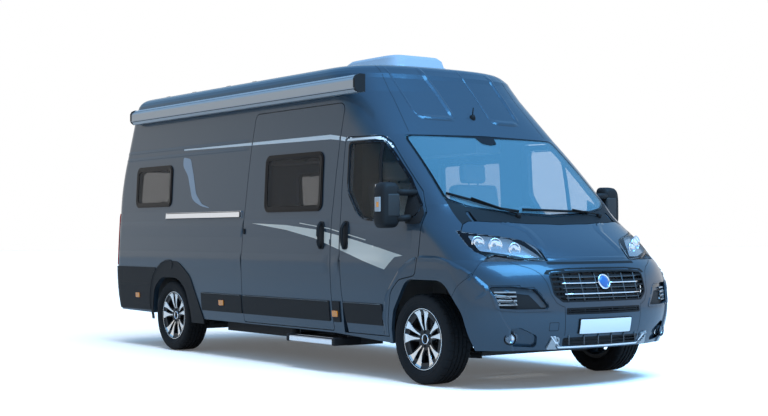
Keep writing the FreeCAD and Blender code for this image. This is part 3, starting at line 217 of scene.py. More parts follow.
CREAM = material("cream_decal", (0.66, 0.60, 0.52), rough=0.4, specular=0.2)
PALE_BLUE = material("pale_blue_decal", (0.20, 0.27, 0.35), rough=0.35, metal=0.3)
GREY_LINE = material("grey_line", (0.20, 0.215, 0.23), rough=0.4)
PLATE = material("blank_plate", (0.80, 0.80, 0.80), rough=0.4)
BADGE = material("badge_face", (0.02, 0.10, 0.30), rough=0.3, coat=0.3)

SLOT_MATERIAL = {
    "body_paint": PAINT, "dark_plastic": DARK, "rooflight_plastic": ROOFLIGHT,
    "tinted_glass": PRIVACY, "lamp_clear": LAMP_CLEAR, "lamp_red": LAMP_RED,
    "floor_grey": FLOOR_GREY, "chassis_black": CHASSIS, "cast_parts": CAST,
    "radiator_metal": CAST, "dash_plastic": DASH, "seat_fabric": FABRIC,
    "furniture_board": BOARD, "step_metal": STEEL, "awning_silver": SILVER,
    "bright_trim": BRIGHT, "rim_alloy": ALLOY, "tyre_rubber": RUBBER,
}
SLOT_OF = {row["node"]: row["material_slot"] for row in frame["record"]["subparts"]}


def dress(name, made):
    if name in nodes:
        nodes[name].data.materials.clear()
        nodes[name].data.materials.append(made)


for name, slot_name in SLOT_OF.items():
    dress(name, SLOT_MATERIAL[slot_name])

# Ways of making pieces

BODY = {}
for body, members in frame["record"]["behaviour"]["bodies"].items():
    for member in members:
        BODY[member] = body
ROOT = BODY["floor_pan"]


def piece(name, mesh, made, body=ROOT, smooth=False, slot=None):
    """A mesh, or a list of them as one, shown as an object that rides on a body."""
    mesh = join_meshes(mesh) if isinstance(mesh, list) else mesh
    mesh.name = name
    shown = bpy.data.objects.new(name, mesh)
    scene.collection.objects.link(shown)
    mesh.materials.append(made)
    if smooth:
        mesh.polygons.foreach_set("use_smooth", [True] * len(mesh.polygons))
    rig.ride(shown, body)
    if slot:
        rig.slot(shown, slot)
    return shown


def mesh_of(points, faces):
    mesh = bpy.data.meshes.new("mesh")
    mesh.from_pydata([tuple(p) for p in points], [], faces)
    mesh.update()
    return mesh


def box_mesh(low, high, bevel=0.0, segments=2):
    made = bmesh.new()
    bmesh.ops.create_cube(made, size=1.0)
    for vert in made.verts:
        for axis in range(3):
            vert.co[axis] = low[axis] if vert.co[axis] < 0 else high[axis]
    if bevel:
        bmesh.ops.bevel(made, geom=made.edges[:], offset=bevel, segments=segments, affect="EDGES",
                        profile=0.6)
    mesh = bpy.data.meshes.new("box")
    made.to_mesh(mesh)
    made.free()
    return mesh


def join_meshes(meshes):
    """One mesh of several."""
    made = bmesh.new()
    for mesh in meshes:
        made.from_mesh(mesh)
    joined = bpy.data.meshes.new("joined")
    made.to_mesh(joined)
    made.free()
    return joined


def round_turn(count):
    """Evenly spaced angles of a full turn."""
    return [2 * math.pi * turn / count for turn in range(count)]


def ring_faces(rings, around):
    """Faces between rings of points that follow one another."""
    pairs = [(ring * around + turn, ring * around + (turn + 1) % around)
             for ring in range(rings - 1) for turn in range(around)]
    return [(a, b, b + around, a + around) for a, b in pairs]


def end_face(rings, around):
    """The face that closes the last ring."""
    last = (rings - 1) * around
    return tuple(range(last, last + around))


def turned_faces(segments, count, closed):
    """Faces of a profile of count points that is turned about an axis."""
    faces = []
    for turn in range(segments):
        a, b = turn * count, (turn + 1) % segments * count
        for row in range(count if closed else count - 1):
            following = (row + 1) % count
            faces.append((a + row, b + row, b + following, a + following))
    return faces


def tube(points, radius, segments=8, flat=1.0):
    """A round bar along points; flat squashes its section across the local up axis."""
    points = [Vector(p) for p in points]
    spots = []
    for index, point in enumerate(points):
        before = points[max(index - 1, 0)]
        after = points[min(index + 1, len(points) - 1)]
        way = (after - before).normalized()
        side = way.cross(Vector((0, 0, 1)))
        side = side.normalized() if side.length > 0.01 else Vector((0, 1, 0))
        up = side.cross(way)
        spots += [point + side * radius * math.cos(angle) + up * radius * flat * math.sin(angle)
                  for angle in round_turn(segments)]
    faces = ring_faces(len(points), segments)
    faces += [tuple(range(segments))[::-1], end_face(len(points), segments)]
    return mesh_of(spots, faces)


def lathe(profile, centre, axis, segments=48, closed=False):
    """A profile of (radius, along) turned about an axis."""
    axis = Vector(axis).normalized()
    side = axis.cross(Vector((0, 0, 1)))
    side = side.normalized() if side.length > 0.01 else Vector((1, 0, 0))
    up = side.cross(axis)
    spots = []
    for angle in round_turn(segments):
        out = side * math.cos(angle) + up * math.sin(angle)
        spots += [Vector(centre) + out * radius + axis * along for radius, along in profile]
    return mesh_of(spots, turned_faces(segments, len(profile), closed))


def squared(value, power):
    """A sine or cosine pushed out, so that a ring becomes a rounded rectangle."""
    return math.copysign(abs(value) ** power, value)


trees = {}
covers = {}


def tree_of(mesh):
    mesh.calc_loop_triangles()
    return BVHTree.FromPolygons([v.co.copy() for v in mesh.vertices],
                                [tuple(t.vertices) for t in mesh.loop_triangles])


def tree(name):
    if name not in trees:
        trees[name] = tree_of(nodes[name].data)
    return trees[name]


def hit(names, origin, way):
    """First thing struck among some nodes and what covers them: point, normal and node."""
    best = None
    for name in names:
        for each in [tree(name)] + covers.get(name, []):
            point, normal, _, distance = each.ray_cast(origin, way)
            if point is not None and (best is None or distance < best[3]):
                best = (point, normal, name, distance)
    if best and best[1].dot(way) > 0:
        best = (best[0], -best[1], best[2], best[3])
    return best


def hit_from_ahead(names, y, z):
    return hit(names, Vector((4, y, z)), Vector((-1, 0, 0)))


class View:
    """A plane that outlines are drawn in, and the way that they are laid on the surface."""

    def __init__(self, way, across, reach=6.0):
        self.way = Vector(way).normalized()
        self.u = Vector(across).normalized()
        self.v = self.u.cross(self.way).normalized()
        if self.v.z < 0 or (abs(self.v.z) < 0.01 and self.v.y < 0):
            self.v = -self.v
        self.reach = reach

    def flat(self, point):
        point = Vector(point)
        return (point.dot(self.u), point.dot(self.v))

    def ray(self, a, b):
        return self.u * a + self.v * b - self.way * self.reach


RIGHT = View((0, 1, 0), (1, 0, 0))
LEFT = View((0, -1, 0), (1, 0, 0))
FRONT = View((-1, 0, 0), (0, 1, 0))
REAR = View((1, 0, 0), (0, 1, 0))
TOP = View((0, 0, -1), (1, 0, 0))
CORNER = {side: View((-0.8, -0.45 * side, -0.38), (0.45, -0.8 * side, 0)) for side in (-1, 1)}


def resampled(loop, step, closed=True):
    """A line or closed outline with points about a step apart."""
    out = []
    count = len(loop)
    for index in range(count if closed else count - 1):
        point, following = loop[index], loop[(index + 1) % count]
        parts = max(1, round(math.dist(point[:2], following[:2]) / step))
        for k in range(parts):
            t = k / parts
            out.append((point[0] + (following[0] - point[0]) * t,
                        point[1] + (following[1] - point[1]) * t))
    if not closed:
        out.append(tuple(loop[-1][:2]))
    return out


# A rounded corner takes less than half of each side, so that two corners never meet
MOST_OF_A_SIDE = 0.48


def rounded(points, radius=0.0, turns=5):
    """Corners of an outline rounded; a third value of a point is its own radius."""
    out = []
    count = len(points)
    for index, corner in enumerate(points):
        size = corner[2] if len(corner) > 2 else radius
        here = Vector(corner[:2])
        before = Vector(points[index - 1][:2]) - here
        after = Vector(points[(index + 1) % count][:2]) - here
        if not size:
            out.append(tuple(here))
            continue
        run = min(size, before.length * MOST_OF_A_SIDE, after.length * MOST_OF_A_SIDE)
        start, end = here + before.normalized() * run, here + after.normalized() * run
        for k in range(turns + 1):
            t = k / turns
            out.append(tuple(start * (1 - t) ** 2 + here * 2 * t * (1 - t) + end * t * t))
    return out


def rectangle(low_a, low_b, high_a, high_b, radius=0.0):
    """An upright rectangle, with rounded corners where a radius is given."""
    corners = [(low_a, low_b), (high_a, low_b), (high_a, high_b), (low_a, high_b)]
    return rounded(corners, radius) if radius else corners


def grown(points, margin):
    """An outline moved outwards."""
    area = sum(a[0] * b[1] - b[0] * a[1] for a, b in zip(points, points[1:] + points[:1]))
    sign = 1 if area > 0 else -1
    out = []
    count = len(points)
    for index, corner in enumerate(points):
        here = Vector(corner[:2])
        back = (here - Vector(points[index - 1][:2])).normalized()
        ahead = (Vector(points[(index + 1) % count][:2]) - here).normalized()
        n1, n2 = Vector((back.y, -back.x)) * sign, Vector((ahead.y, -ahead.x)) * sign
        bisector = n1 + n2
        bisector = bisector / max(bisector.length_squared, 0.3) * 2
        moved = here + bisector * margin
        out.append((moved.x, moved.y) + tuple(corner[2:]))
    return out


def within(loops, spots):
    """Which of some points lie inside the loops by the even-odd rule."""
    spots = np.asarray(spots, dtype=float)
    count = np.zeros(len(spots), dtype=int)
    for loop in loops:
        for (xa, ya), (xb, yb) in zip(loop, loop[1:] + loop[:1]):
            if ya == yb:
                continue
            spans = (spots[:, 1] >= min(ya, yb)) & (spots[:, 1] < max(ya, yb))
            cross = xa + (spots[:, 1] - ya) * (xb - xa) / (yb - ya)
            count += spans & (cross > spots[:, 0])
    return count % 2 == 1


def triangles_in(loops, step):
    """Points and faces that fill an outline, the first loop, less the holes that follow."""
    spots, edges = [], []
    for loop in loops:
        base = len(spots)
        spots += loop
        edges += [(base + k, base + (k + 1) % len(loop)) for k in range(len(loop))]
    low = [min(p[k] for p in loops[0]) for k in (0, 1)]
    high = [max(p[k] for p in loops[0]) for k in (0, 1)]
    grid = [(low[0] + step * (i + 0.5), low[1] + step * (j + 0.5))
            for i in range(int((high[0] - low[0]) / step))
            for j in range(int((high[1] - low[1]) / step))]
    if grid:
        spots += [g for g, is_in in zip(grid, within(loops, grid)) if is_in]
    flat, _, faces, *_ = delaunay_2d_cdt([Vector(p) for p in spots], edges, [], 0, 1e-6)
    middles = [sum((flat[i] for i in face), Vector((0, 0))) / len(face) for face in faces]
    return flat, [face for face, is_in in zip(faces, within(loops, middles)) if is_in]


def facing(points, ids, way):
    """The corners of a face, in the order that turns it against the way of looking."""
    across = (points[ids[1]] - points[ids[0]]).cross(points[ids[2]] - points[ids[0]])
    return ids if across.dot(way) < 0 else ids[::-1]


def add_walls(points, faces, struck):
    """Walls from the open edges of a sheet to just under the surface that it lies on."""
    edges = {pair: True for ids in faces for pair in zip(ids, ids[1:] + ids[:1])}
    sunk = 0.002
    feet = {}
    for a, b in [pair for pair in edges if pair[::-1] not in edges]:
        for k in (a, b):
            if k not in feet:
                feet[k] = len(points)
                points.append(struck[k][0] - struck[k][1] * sunk)
        faces.append([b, a, feet[a], feet[b]])


def laid_piece(name, points, faces, made, owner, cover, smooth, slot):
    """A piece on the body of a node; a cover is part of the surface for what is laid later."""
    mesh = mesh_of(points, faces)
    shown = piece(name, mesh, made, BODY[owner], smooth=smooth, slot=slot)
    if cover:
        covers.setdefault(owner, []).append(tree_of(mesh))
    return shown


def drape(name, outline, made, view, names, step=0.014, lift=0.0012, thick=0.0, hole=None,
          slot=None, cover=False, smooth=True):
    """A flat outline laid on the surface along a view, in one piece for each node it lies on."""
    loops = [resampled(loop, step) for loop in (outline, hole) if loop]
    flat, faces = triangles_in(loops, step)
    struck = {}
    for index in {i for face in faces for i in face}:
        found = hit(names, view.ray(flat[index].x, flat[index].y), view.way)
        if found:
            struck[index] = found
    # A face that reaches across a gap, or from one node to another, is left out
    groups = {}
    for face in faces:
        if all(i in struck for i in face):
            owners = {struck[i][2] for i in face}
            spread = max((struck[a][0] - struck[b][0]).length for a in face for b in face)
            if len(owners) == 1 and spread < step * 3.5 + 0.01:
                groups.setdefault(owners.pop(), []).append(face)
    shown = []
    for owner, members in groups.items():
        order = {}
        points, turned = [], []
        for face in members:
            for i in face:
                if i not in order:
                    order[i] = len(points)
                    points.append(struck[i][0] + struck[i][1] * (lift + thick))
            turned.append(facing(points, [order[i] for i in face], view.way))
        if thick:
            add_walls(points, turned, {order[i]: struck[i] for i in order})
        tag = f"{name}_{owner}" if len(groups) > 1 else name
        shown.append(laid_piece(tag, points, turned, made, owner, cover, smooth and not thick,
                                slot))
    return shown


LEAST_LIFT = 0.0006


def bead(name, line, made, view, names, profile, step=0.02, cover=False, slot=None):
    """A moulded line: rows at offsets across a line, each lifted off the surface."""
    path = [Vector(p) for p in resampled(line, step, closed=False)]
    columns = []
    for index, point in enumerate(path):
        way = (path[min(index + 1, len(path) - 1)] - path[max(index - 1, 0)]).normalized()
        across = Vector((-way.y, way.x))
        # The line rises over its first three rows and sinks over its last three
        fade = min(1.0, min(index, len(path) - 1 - index) / 3)
        column = []
        for offset, lift in profile:
            place = point + across * offset
            found = hit(names, view.ray(place.x, place.y), view.way)
            column.append(found and (found[0] + found[1] * (LEAST_LIFT + lift * fade), found[2]))
        columns.append(column)
    groups = {}
    for index in range(len(columns) - 1):
        for row in range(len(profile) - 1):
            corners = [(index, row), (index + 1, row), (index + 1, row + 1), (index, row + 1)]
            found = [columns[i][j] for i, j in corners]
            if all(found) and len({f[1] for f in found}) == 1:
                spread = max((a[0] - b[0]).length for a in found for b in found)
                if spread < step * 2 + 0.12:
                    groups.setdefault(found[0][1], []).append(corners)
    for owner, members in groups.items():
        order, points, faces = {}, [], []
        for corners in members:
            for corner in corners:
                if corner not in order:
                    order[corner] = len(points)
                    points.append(columns[corner[0]][corner[1]][0])
            faces.append(facing(points, [order[c] for c in corners], view.way))
        laid_piece(f"{name}_{owner}", points, faces, made, owner, cover, True, slot)


def faces_by(name, rule, materials):
    """Gives each face of a node one of several finishes, by its middle and its normal."""
    mesh = nodes[name].data
    mesh.materials.clear()
    for made in materials:
        mesh.materials.append(made)
    for face in mesh.polygons:
        face.material_index = rule(face.center, face.normal)


RIGHT_SKIN = ["side_panel_right", "sliding_door", "cab_door_right", "front_wings", "cab_frame",
              "front_bumper"]
LEFT_SKIN = ["side_panel_left", "cab_door_left", "front_wings", "cab_frame", "front_bumper"]
SIDES = ((-1, "right", RIGHT, RIGHT_SKIN), (1, "left", LEFT, LEFT_SKIN))
BOTH = ((-1, "right"), (1, "left"))
# Least and greatest x, then least and greatest z
SIDE_WINDOWS = {"rear": (-2.5895, -1.8295, 1.42, 1.808), "slide": (-0.0245, 0.8755, 1.337, 1.812)}


# Finishes that change within a node

def in_window(point, low_x, high_x, low_z, high_z):
    inset = 0.024
    return (low_x + inset < point.x < high_x - inset) and (low_z + inset < point.z < high_z - inset)


def glass_rule(point, normal):
    """Windscreen, side pane or the dark edge round a pane."""
    if abs(point.y) < 0.9 and point.x > 1.0:
        return 0
    return 1 if any(in_window(point, *window) for window in SIDE_WINDOWS.values()) else 2


def headlamp_rule(point, normal):
    """The lens, or what lies behind it."""
    lens_depth = 0.004
    return 0 if lamp_depth(point) < lens_depth else 1


def lamp_depth(point):
    """How far a point lies behind the outside of the headlamp, along its corner's view."""
    view = CORNER[1 if point.y > 0 else -1]
    found = hit(["headlamps"], view.ray(*view.flat(point)), view.way)
    return (point - found[0]).dot(view.way) if found else 1.0


def disc_rule(point, normal):
    """The brake disc, or the cast knuckle that carries it."""
    disc_y, half_thick = 0.904, 0.014
    radius = math.hypot(point.x - FRONT_AXLE, point.z - WHEEL_Z)
    return 0 if 0.07 < radius < 0.155 and abs(abs(point.y) - disc_y) < half_thick else 1


def insert_rule(point, normal):
    """Body colour, lens of the fog lamp, bright slat, or dark plastic on the scoop's forward face as painted shade in
    its recess.
    """
    scoop_low, lens_radius, half_slat = 0.55, 0.0435, 0.0065
    if math.hypot(abs(point.y) - 0.760, point.z - 0.380) < lens_radius:
        return 1
    if point.z > scoop_low and abs(point.y) > 0.735 and normal.x > -0.5:
        if min(abs(point.z - level) for level in (0.622, 0.652, 0.682, 0.712)) < half_slat:
            return 2
    # Painted shade: the scoop's forward face takes dark plastic so that its recess reads dark.
    return 3 if normal.x > 0.5 and point.z > scoop_low else 0


# The windscreen's finish carries a painted reflection of the sky in its blue.
faces_by("fixed_glass", glass_rule, [SCREEN_PAINTED_SKY, PRIVACY, GLOSS_BLACK])
for corner in ("front_right", "front_left", "rear_right", "rear_left"):
    dress(f"rim_{corner}", RIM_DARK)
for side in ("right", "left"):
    faces_by(f"knuckle_{side}", disc_rule, [STEEL, CAST])
    dress(f"cab_door_glass_{side}", CLEAR)
faces_by("headlamps", headlamp_rule, [LAMP_CLEAR, BLACK])
# The last finish, dark plastic, is painted shade on the forward face of the scoop.
faces_by("bumper_inserts", insert_rule, [PAINT, LAMP_CLEAR, SILVER, DARK])
dress("grille", BLACK)
dress("cowl", BLACK)
dress("steering_wheel", DASH)
dress("door_rail", BRIGHT)

# Pressed lines of the body, and the stripes that lie over them


def creases():
    """Pressed lines of the sides and bonnet, and the fine lines on the lower mouldings."""
    step_down = [(0.005, 0.0), (-0.005, 0.0012), (-0.036, 0.0048), (-0.05, 0.0050),
                 (-0.10, 0.0022), (-0.15, 0.0)]
    ridge = [(0.014, 0.0), (0.004, 0.0028), (-0.004, 0.0028), (-0.014, 0.0)]
    for _, tag, view, skins in SIDES:
        for label, line, profile in (
                ("belt_rear", [(-2.98, 1.262), (1.00, 1.256)], step_down),
                ("belt_door", [(1.19, 1.215), (1.60, 1.196), (2.14, 1.170)], step_down),
                ("waist_rear", [(-2.98, 0.965), (1.00, 0.961)], step_down),
                ("waist_door", [(1.06, 0.961), (1.80, 0.961)], step_down),
                ("upper", [(-2.92, 1.975), (-0.36, 1.975)], ridge),
                ("upper_two", [(-2.92, 1.905), (-0.36, 1.905)], ridge)):
            bead(f"{label}_{tag}", line, PAINT, view, skins, profile, cover=True, slot="body_paint")
        line = [(-2.98, 0.640), (-2.20, 0.636)]
        bead(f"quarter_{tag}", line, DARK, view, ["lower_cladding"], ridge, slot="dark_plastic")
        for label, start, end in (("back", -1.17, -0.42), ("mid", -0.38, 1.0),
                                  ("fore", 1.19, 1.74)):
            bead(f"strip_line_{label}_{tag}", [(start, 0.586), (end, 0.586)], GREY_LINE, view,
                 ["lower_cladding", f"door_trim_{tag}"], [(0.004, 0), (0, 0.0035), (-0.004, 0)])
    for side, tag in BOTH:
        crease = [(2.545, 0.598 * side), (2.644, 0.438 * side), (2.734, 0.376 * side),
                  (2.838, 0.378 * side), (2.955, 0.399 * side)]
        wide = [(-0.05 * side, 0.0), (-0.012 * side, 0.0045), (0.0, 0.0055),
                (0.012 * side, 0.0035), (0.03 * side, 0.0)]
        bead(f"bonnet_crease_{tag}", crease, PAINT, TOP, ["bonnet"],
             wide if side < 0 else wide[::-1], cover=True, slot="body_paint")


def roof_front():
    """Edges of the two sunk panels over the windscreen, and the small aerial."""
    names = ["roof_shell", "cab_frame"]
    soft = [(-0.010, 0.0), (-0.003, 0.0035), (0.003, 0.0035), (0.010, 0.0)]
    shelf = [(0.030, 0.0), (0.018, 0.002), (0.0, 0.012), (-0.006, 0.012), (-0.020, 0.0)]
    wall = [(-0.034, 0.0), (-0.010, 0.010), (0.0, 0.011), (0.022, 0.0)]
    for tag, left, ledge, right in (
            ("right", [(-0.591, 2.535), (-0.567, 2.347), (-0.562, 2.139), (-0.545, 2.104),
                       (-0.515, 2.086)],
             [(-0.554, 2.109), (-0.515, 2.082), (-0.443, 2.075), (-0.206, 2.072)],
             [(-0.267, 2.530), (-0.220, 2.320), (-0.194, 2.080)]),
            ("left", [(0.140, 2.530), (0.175, 2.318), (0.190, 2.091), (0.205, 2.072)],
             [(0.191, 2.078), (0.230, 2.062), (0.336, 2.056), (0.487, 2.057)],
             [(0.483, 2.515), (0.510, 2.304), (0.506, 2.066)])):
        bead(f"roof_panel_a_{tag}", left, PAINT, FRONT, names, soft, slot="body_paint")
        bead(f"roof_panel_b_{tag}", ledge, PAINT, FRONT, names, shelf, slot="body_paint")
        bead(f"roof_panel_c_{tag}", right, PAINT, FRONT, names, wall, slot="body_paint")
    for side, tag in BOTH:
        seam = [(0.640 * side, 2.530), (0.668 * side, 2.236), (0.718 * side, 1.945)]
        bead(f"roof_seam_{tag}", seam, BLACK, FRONT, names, [(-0.002, 0), (0.002, 0)])
    foot = hit_from_ahead(names, 0.007, 2.093)[0]
    base = lathe([(0.0, 0.030), (0.010, 0.028), (0.024, 0.012), (0.030, -0.006)],
                 foot, (0.65, 0, 0.76), 20)
    rod = tube([foot + Vector((0.0, 0, 0.01)), foot + Vector((0.012, 0, 0.085))], 0.005)
    piece("aerial", [base, rod], BLACK, smooth=True)


def rooflight_dome():
    """The pale dome: rounded rings that draw in towards a gently bowed top."""
    around, middle_x, power = 64, 0.5335, 0.32
    rings = ((2.560, 0.425, 0.325), (2.588, 0.423, 0.323), (2.596, 0.410, 0.310),
             (2.650, 0.395, 0.295), (2.680, 0.360, 0.262), (2.692, 0.290, 0.200),
             (2.696, 0.160, 0.110))
    spots = [(middle_x + half_long * squared(math.cos(angle), power),
              half_wide * squared(math.sin(angle), power), z)
             for z, half_long, half_wide in rings for angle in round_turn(around)]
    faces = ring_faces(len(rings), around) + [end_face(len(rings), around)]
    piece("rooflight_dome", mesh_of(spots, faces), ROOFLIGHT, smooth=True, slot="rooflight_plastic")


def stripes():
    """Stripes along the sides and one curved band behind the sliding door."""
    white = [(-1.61, 1.950), (0.97, 1.916), (1.10, 1.902), (1.19, 1.888), (1.58, 1.886),
             (1.66, 1.870), (1.72, 1.835), (1.760, 1.800), (1.770, 1.812), (1.735, 1.856),
             (1.67, 1.900), (1.58, 1.917), (1.19, 1.920), (1.10, 1.936), (0.97, 1.954),
             (-1.61, 1.963)]
    swoosh = [(-0.24, 1.232), (0.35, 1.170), (0.79, 1.100), (1.154, 1.010), (1.50, 0.925),
              (1.80, 0.858), (1.86, 0.905), (1.93, 0.955), (2.035, 0.968), (1.90, 0.992),
              (1.70, 1.030), (1.335, 1.095), (0.812, 1.172), (0.35, 1.212)]
    line = [(0.56, 1.224), (1.00, 1.176), (1.54, 1.082), (1.54, 1.090), (1.00, 1.184),
            (0.56, 1.230)]
    for _, tag, view, skins in SIDES:
        drape(f"white_stripe_{tag}", white, WHITE, view, skins, 0.011)
        drape(f"cream_swoosh_{tag}", swoosh, CREAM, view, skins, 0.016)
        drape(f"thin_line_{tag}", line, CREAM, view, skins, 0.010)
    curve = [(-1.61, 1.80), (-1.50, 1.70), (-1.40, 1.48), (-1.33, 1.44), (-1.20, 1.40),
             (-1.06, 1.382), (-1.06, 1.388), (-1.20, 1.422), (-1.32, 1.520), (-1.385, 1.700),
             (-1.46, 1.862), (-1.61, 1.885)]
    drape("pale_curve", rounded(curve, 0.03), PALE_BLUE, RIGHT, RIGHT_SKIN, 0.014)


# Doors, windows and what is fitted to the sides

CAB_WINDOW = [(1.2605, 1.480, 0.06), (1.2605, 1.866, 0.045), (1.6735, 1.862, 0.045),
              (1.8015, 1.755), (2.0165, 1.557), (2.1935, 1.345, 0.02), (2.1715, 1.262, 0.04),
              (1.6735, 1.245, 0.06), (1.4335, 1.262, 0.12)]


def cab_doors():
    """Window edges, the panel at the foot of the mirror, and the handles of three doors."""
    ring = rounded(grown(CAB_WINDOW, 0.014), 0.02)
    hole = rounded(grown(CAB_WINDOW, -0.012), 0.02)
    for _, tag, view, _ in SIDES:
        names = [f"cab_door_{tag}", f"cab_door_glass_{tag}"]
        drape(f"window_surround_{tag}", ring, GLOSS_BLACK, view, [names[0]], 0.010, 0.003,
              hole=rounded(CAB_WINDOW))
        drape(f"window_edge_{tag}", rounded(grown(CAB_WINDOW, -0.001)), BLACK, view, [names[1]],
              0.012, 0.001, hole=hole)
        bar = [(1.648, 1.858), (1.682, 1.858), (1.764, 1.247), (1.724, 1.247)]
        drape(f"window_bar_{tag}", bar, BLACK, view, [names[1]], 0.014, 0.001, thick=0.006)
        foot = [(2.02, 1.556), (2.075, 1.500), (2.205, 1.335), (2.240, 1.285), (2.238, 1.215),
                (2.165, 1.205), (2.055, 1.212), (2.065, 1.30), (2.055, 1.42)]
        drape(f"mirror_panel_{tag}", rounded(foot, 0.015), DARK, view, names, 0.014, 0.003,
              thick=0.004, slot="dark_plastic")
        handle(f"cab_handle_{tag}", 1.2515, view, [names[0]], BODY[names[0]])
    handle("slide_handle", 0.900, RIGHT, ["sliding_door"], ROOT)
    lock = rectangle(-0.372, 1.135, -0.350, 1.185, 0.006)
    drape("slide_lock", lock, BLACK, RIGHT, ["sliding_door"], 0.01, thick=0.008)


def handle(name, x, view, names, body):
    """An upright pull: a rounded plate, the sunk part behind it and the grip."""
    plate = rectangle(x - 0.042, 1.008, x + 0.042, 1.238, 0.034)
    drape(f"{name}_plate", plate, DARK, view, names, 0.010, thick=0.006, slot="dark_plastic")
    sunk = rectangle(x - 0.026, 1.045, x + 0.026, 1.205, 0.018)
    drape(f"{name}_sunk", sunk, BLACK, view, names, 0.010, lift=0.0085)
    points = [hit(names, view.ray(x, z), view.way)[0] - view.way * out
              for z, out in ((1.020, 0.010), (1.045, 0.028), (1.075, 0.036), (1.125, 0.038),
                             (1.175, 0.036), (1.205, 0.028), (1.228, 0.010))]
    grip = tube(points, 0.0155, 10, 0.8)
    piece(f"{name}_grip", grip, DARK, body, smooth=True, slot="dark_plastic")


FRONT_FLARE = [(1.7715, 0.340), (1.7715, 0.495, 0.10), (1.8225, 0.665, 0.15),
               (2.0355, 0.893, 0.20), (2.2195, 0.959, 0.30), (2.5285, 0.955, 0.30),
               (2.7805, 0.853, 0.20), (2.9435, 0.702, 0.20)]
REAR_FLARE = [(-2.2415, 0.340), (-2.2415, 0.500, 0.12), (-2.1515, 0.760, 0.20),
              (-1.9215, 0.876, 0.26), (-1.6815, 0.876, 0.26)]
FLARE_EDGE = [(0.014, 0.0), (0.006, 0.0035), (0.0012, 0.0070), (-0.0030, 0.0020),
              (-0.012, 0.0020), (-0.030, 0.0)]


def side_details():
    """Door post strips, marker lamps, edges of the arches, and what lies on rail and panes."""
    for _, tag, view, skins in SIDES:
        strip = rectangle(1.046, 0.420, 1.171, 0.588)
        drape(f"pillar_strip_{tag}", strip, DARK, view, [f"side_panel_{tag}"], 0.016,
              thick=0.0095, cover=True, slot="dark_plastic")
        for index, (x, z) in enumerate(((-2.512, 0.520), (-0.779, 0.504), (1.108, 0.486))):
            spot = rectangle(x - 0.040, z - 0.024, x + 0.040, z + 0.024, 0.008)
            drape(f"marker_{index}_{tag}", spot, AMBER, view,
                  ["lower_cladding", f"side_panel_{tag}"], 0.010, thick=0.007)
        for label, line, made in (("front", FRONT_FLARE, PAINT), ("rear", REAR_FLARE, DARK)):
            arch = [p for p in rounded(line, 0.0, 8) if p[1] > 0.34]
            bead(f"flare_{label}_{tag}", arch, made, view,
                 skins + ["lower_cladding", f"door_trim_{tag}"], FLARE_EDGE, 0.016)
    for label, level in (("low", 1.288), ("high", 1.339)):
        drape(f"rail_slot_{label}", rectangle(-1.895, level - 0.003, -0.44, level + 0.003), BLACK,
              RIGHT, ["door_rail"], 0.02, 0.001)
    for _, tag, view, skins in SIDES:
        seam = [(-2.975, 1.880), (-2.985, 1.300), (-2.985, 0.700)]
        bead(f"corner_seam_{tag}", seam, BLACK, view, skins, [(-0.003, 0.0), (0.003, 0.0)])
        for label, (low_x, high_x, low_z, high_z) in SIDE_WINDOWS.items():
            corners = rectangle(low_x, low_z, high_x, high_z)
            drape(f"pane_frame_{label}_{tag}", rounded(grown(corners, -0.003), 0.060), GLOSS_BLACK,
                  view, ["fixed_glass"], 0.016, 0.001, thick=0.003,
                  hole=rounded(grown(corners, -0.036), 0.045))
    end = rectangle(-0.452, 1.283, -0.424, 1.347, 0.006)
    drape("rail_end", end, DARK, RIGHT, ["door_rail"], 0.012, thick=0.003)


def mirrors():
    """Door mirrors: a rounded shell on two arms, its glasses, lamp and foot."""
    for side, tag, view, _ in SIDES:
        node = f"mirror_{tag}"
        body = BODY[node]
        arms = [tube([(x, y * side, z) for x, y, z in line], radius, 12)
                for line, radius in (
                    (((2.066, 1.110, 1.448), (2.086, 1.040, 1.448), (2.100, 0.930, 1.444)), 0.025),
                    (((2.066, 1.110, 1.250), (2.092, 1.050, 1.252), (2.110, 0.985, 1.256)), 0.026))]
        shown = piece(f"mirror_shell_{tag}", [shell_mesh(side)] + arms, DARK, body, smooth=True,
                      slot="dark_plastic")
        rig.replaces(shown, node)
        foot = [(2.060, 1.470), (2.185, 1.300), (2.100, 1.215), (2.040, 1.260)]
        for each in drape(f"mirror_foot_{tag}", rounded(foot, 0.012), DARK, view,
                          [f"cab_door_{tag}", f"cab_door_glass_{tag}"], 0.014, 0.003, thick=0.010,
                          slot="dark_plastic"):
            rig.replaces(each, node)
        for label, xs, ys, zs, bevel, made in (
                ("glass_main", (1.9725, 1.976), (1.232, 1.088), (1.305, 1.508), 0.0015, CHROME),
                ("glass_wide", (1.9725, 1.976), (1.232, 1.088), (1.196, 1.290), 0.0015, CHROME),
                ("lamp", (1.990, 2.060), (1.2525, 1.238), (1.300, 1.412), 0.007, MIRROR_LAMP),
                ("amber", (2.014, 2.046), (1.2540, 1.246), (1.335, 1.375), 0.003, AMBER)):
            low, high = sorted(y * side for y in ys)
            mesh = box_mesh((xs[0], low, zs[0]), (xs[1], high, zs[1]), bevel)
            piece(f"mirror_{label}_{tag}", mesh, made, body)
        low, high = sorted((1.200 * side, 1.088 * side))
        mesh = box_mesh((2.070, low, 1.262), (2.0965, high, 1.438), 0.014, 3)
        piece(f"mirror_back_{tag}", mesh, CHASSIS, body, smooth=True, slot="dark_plastic")


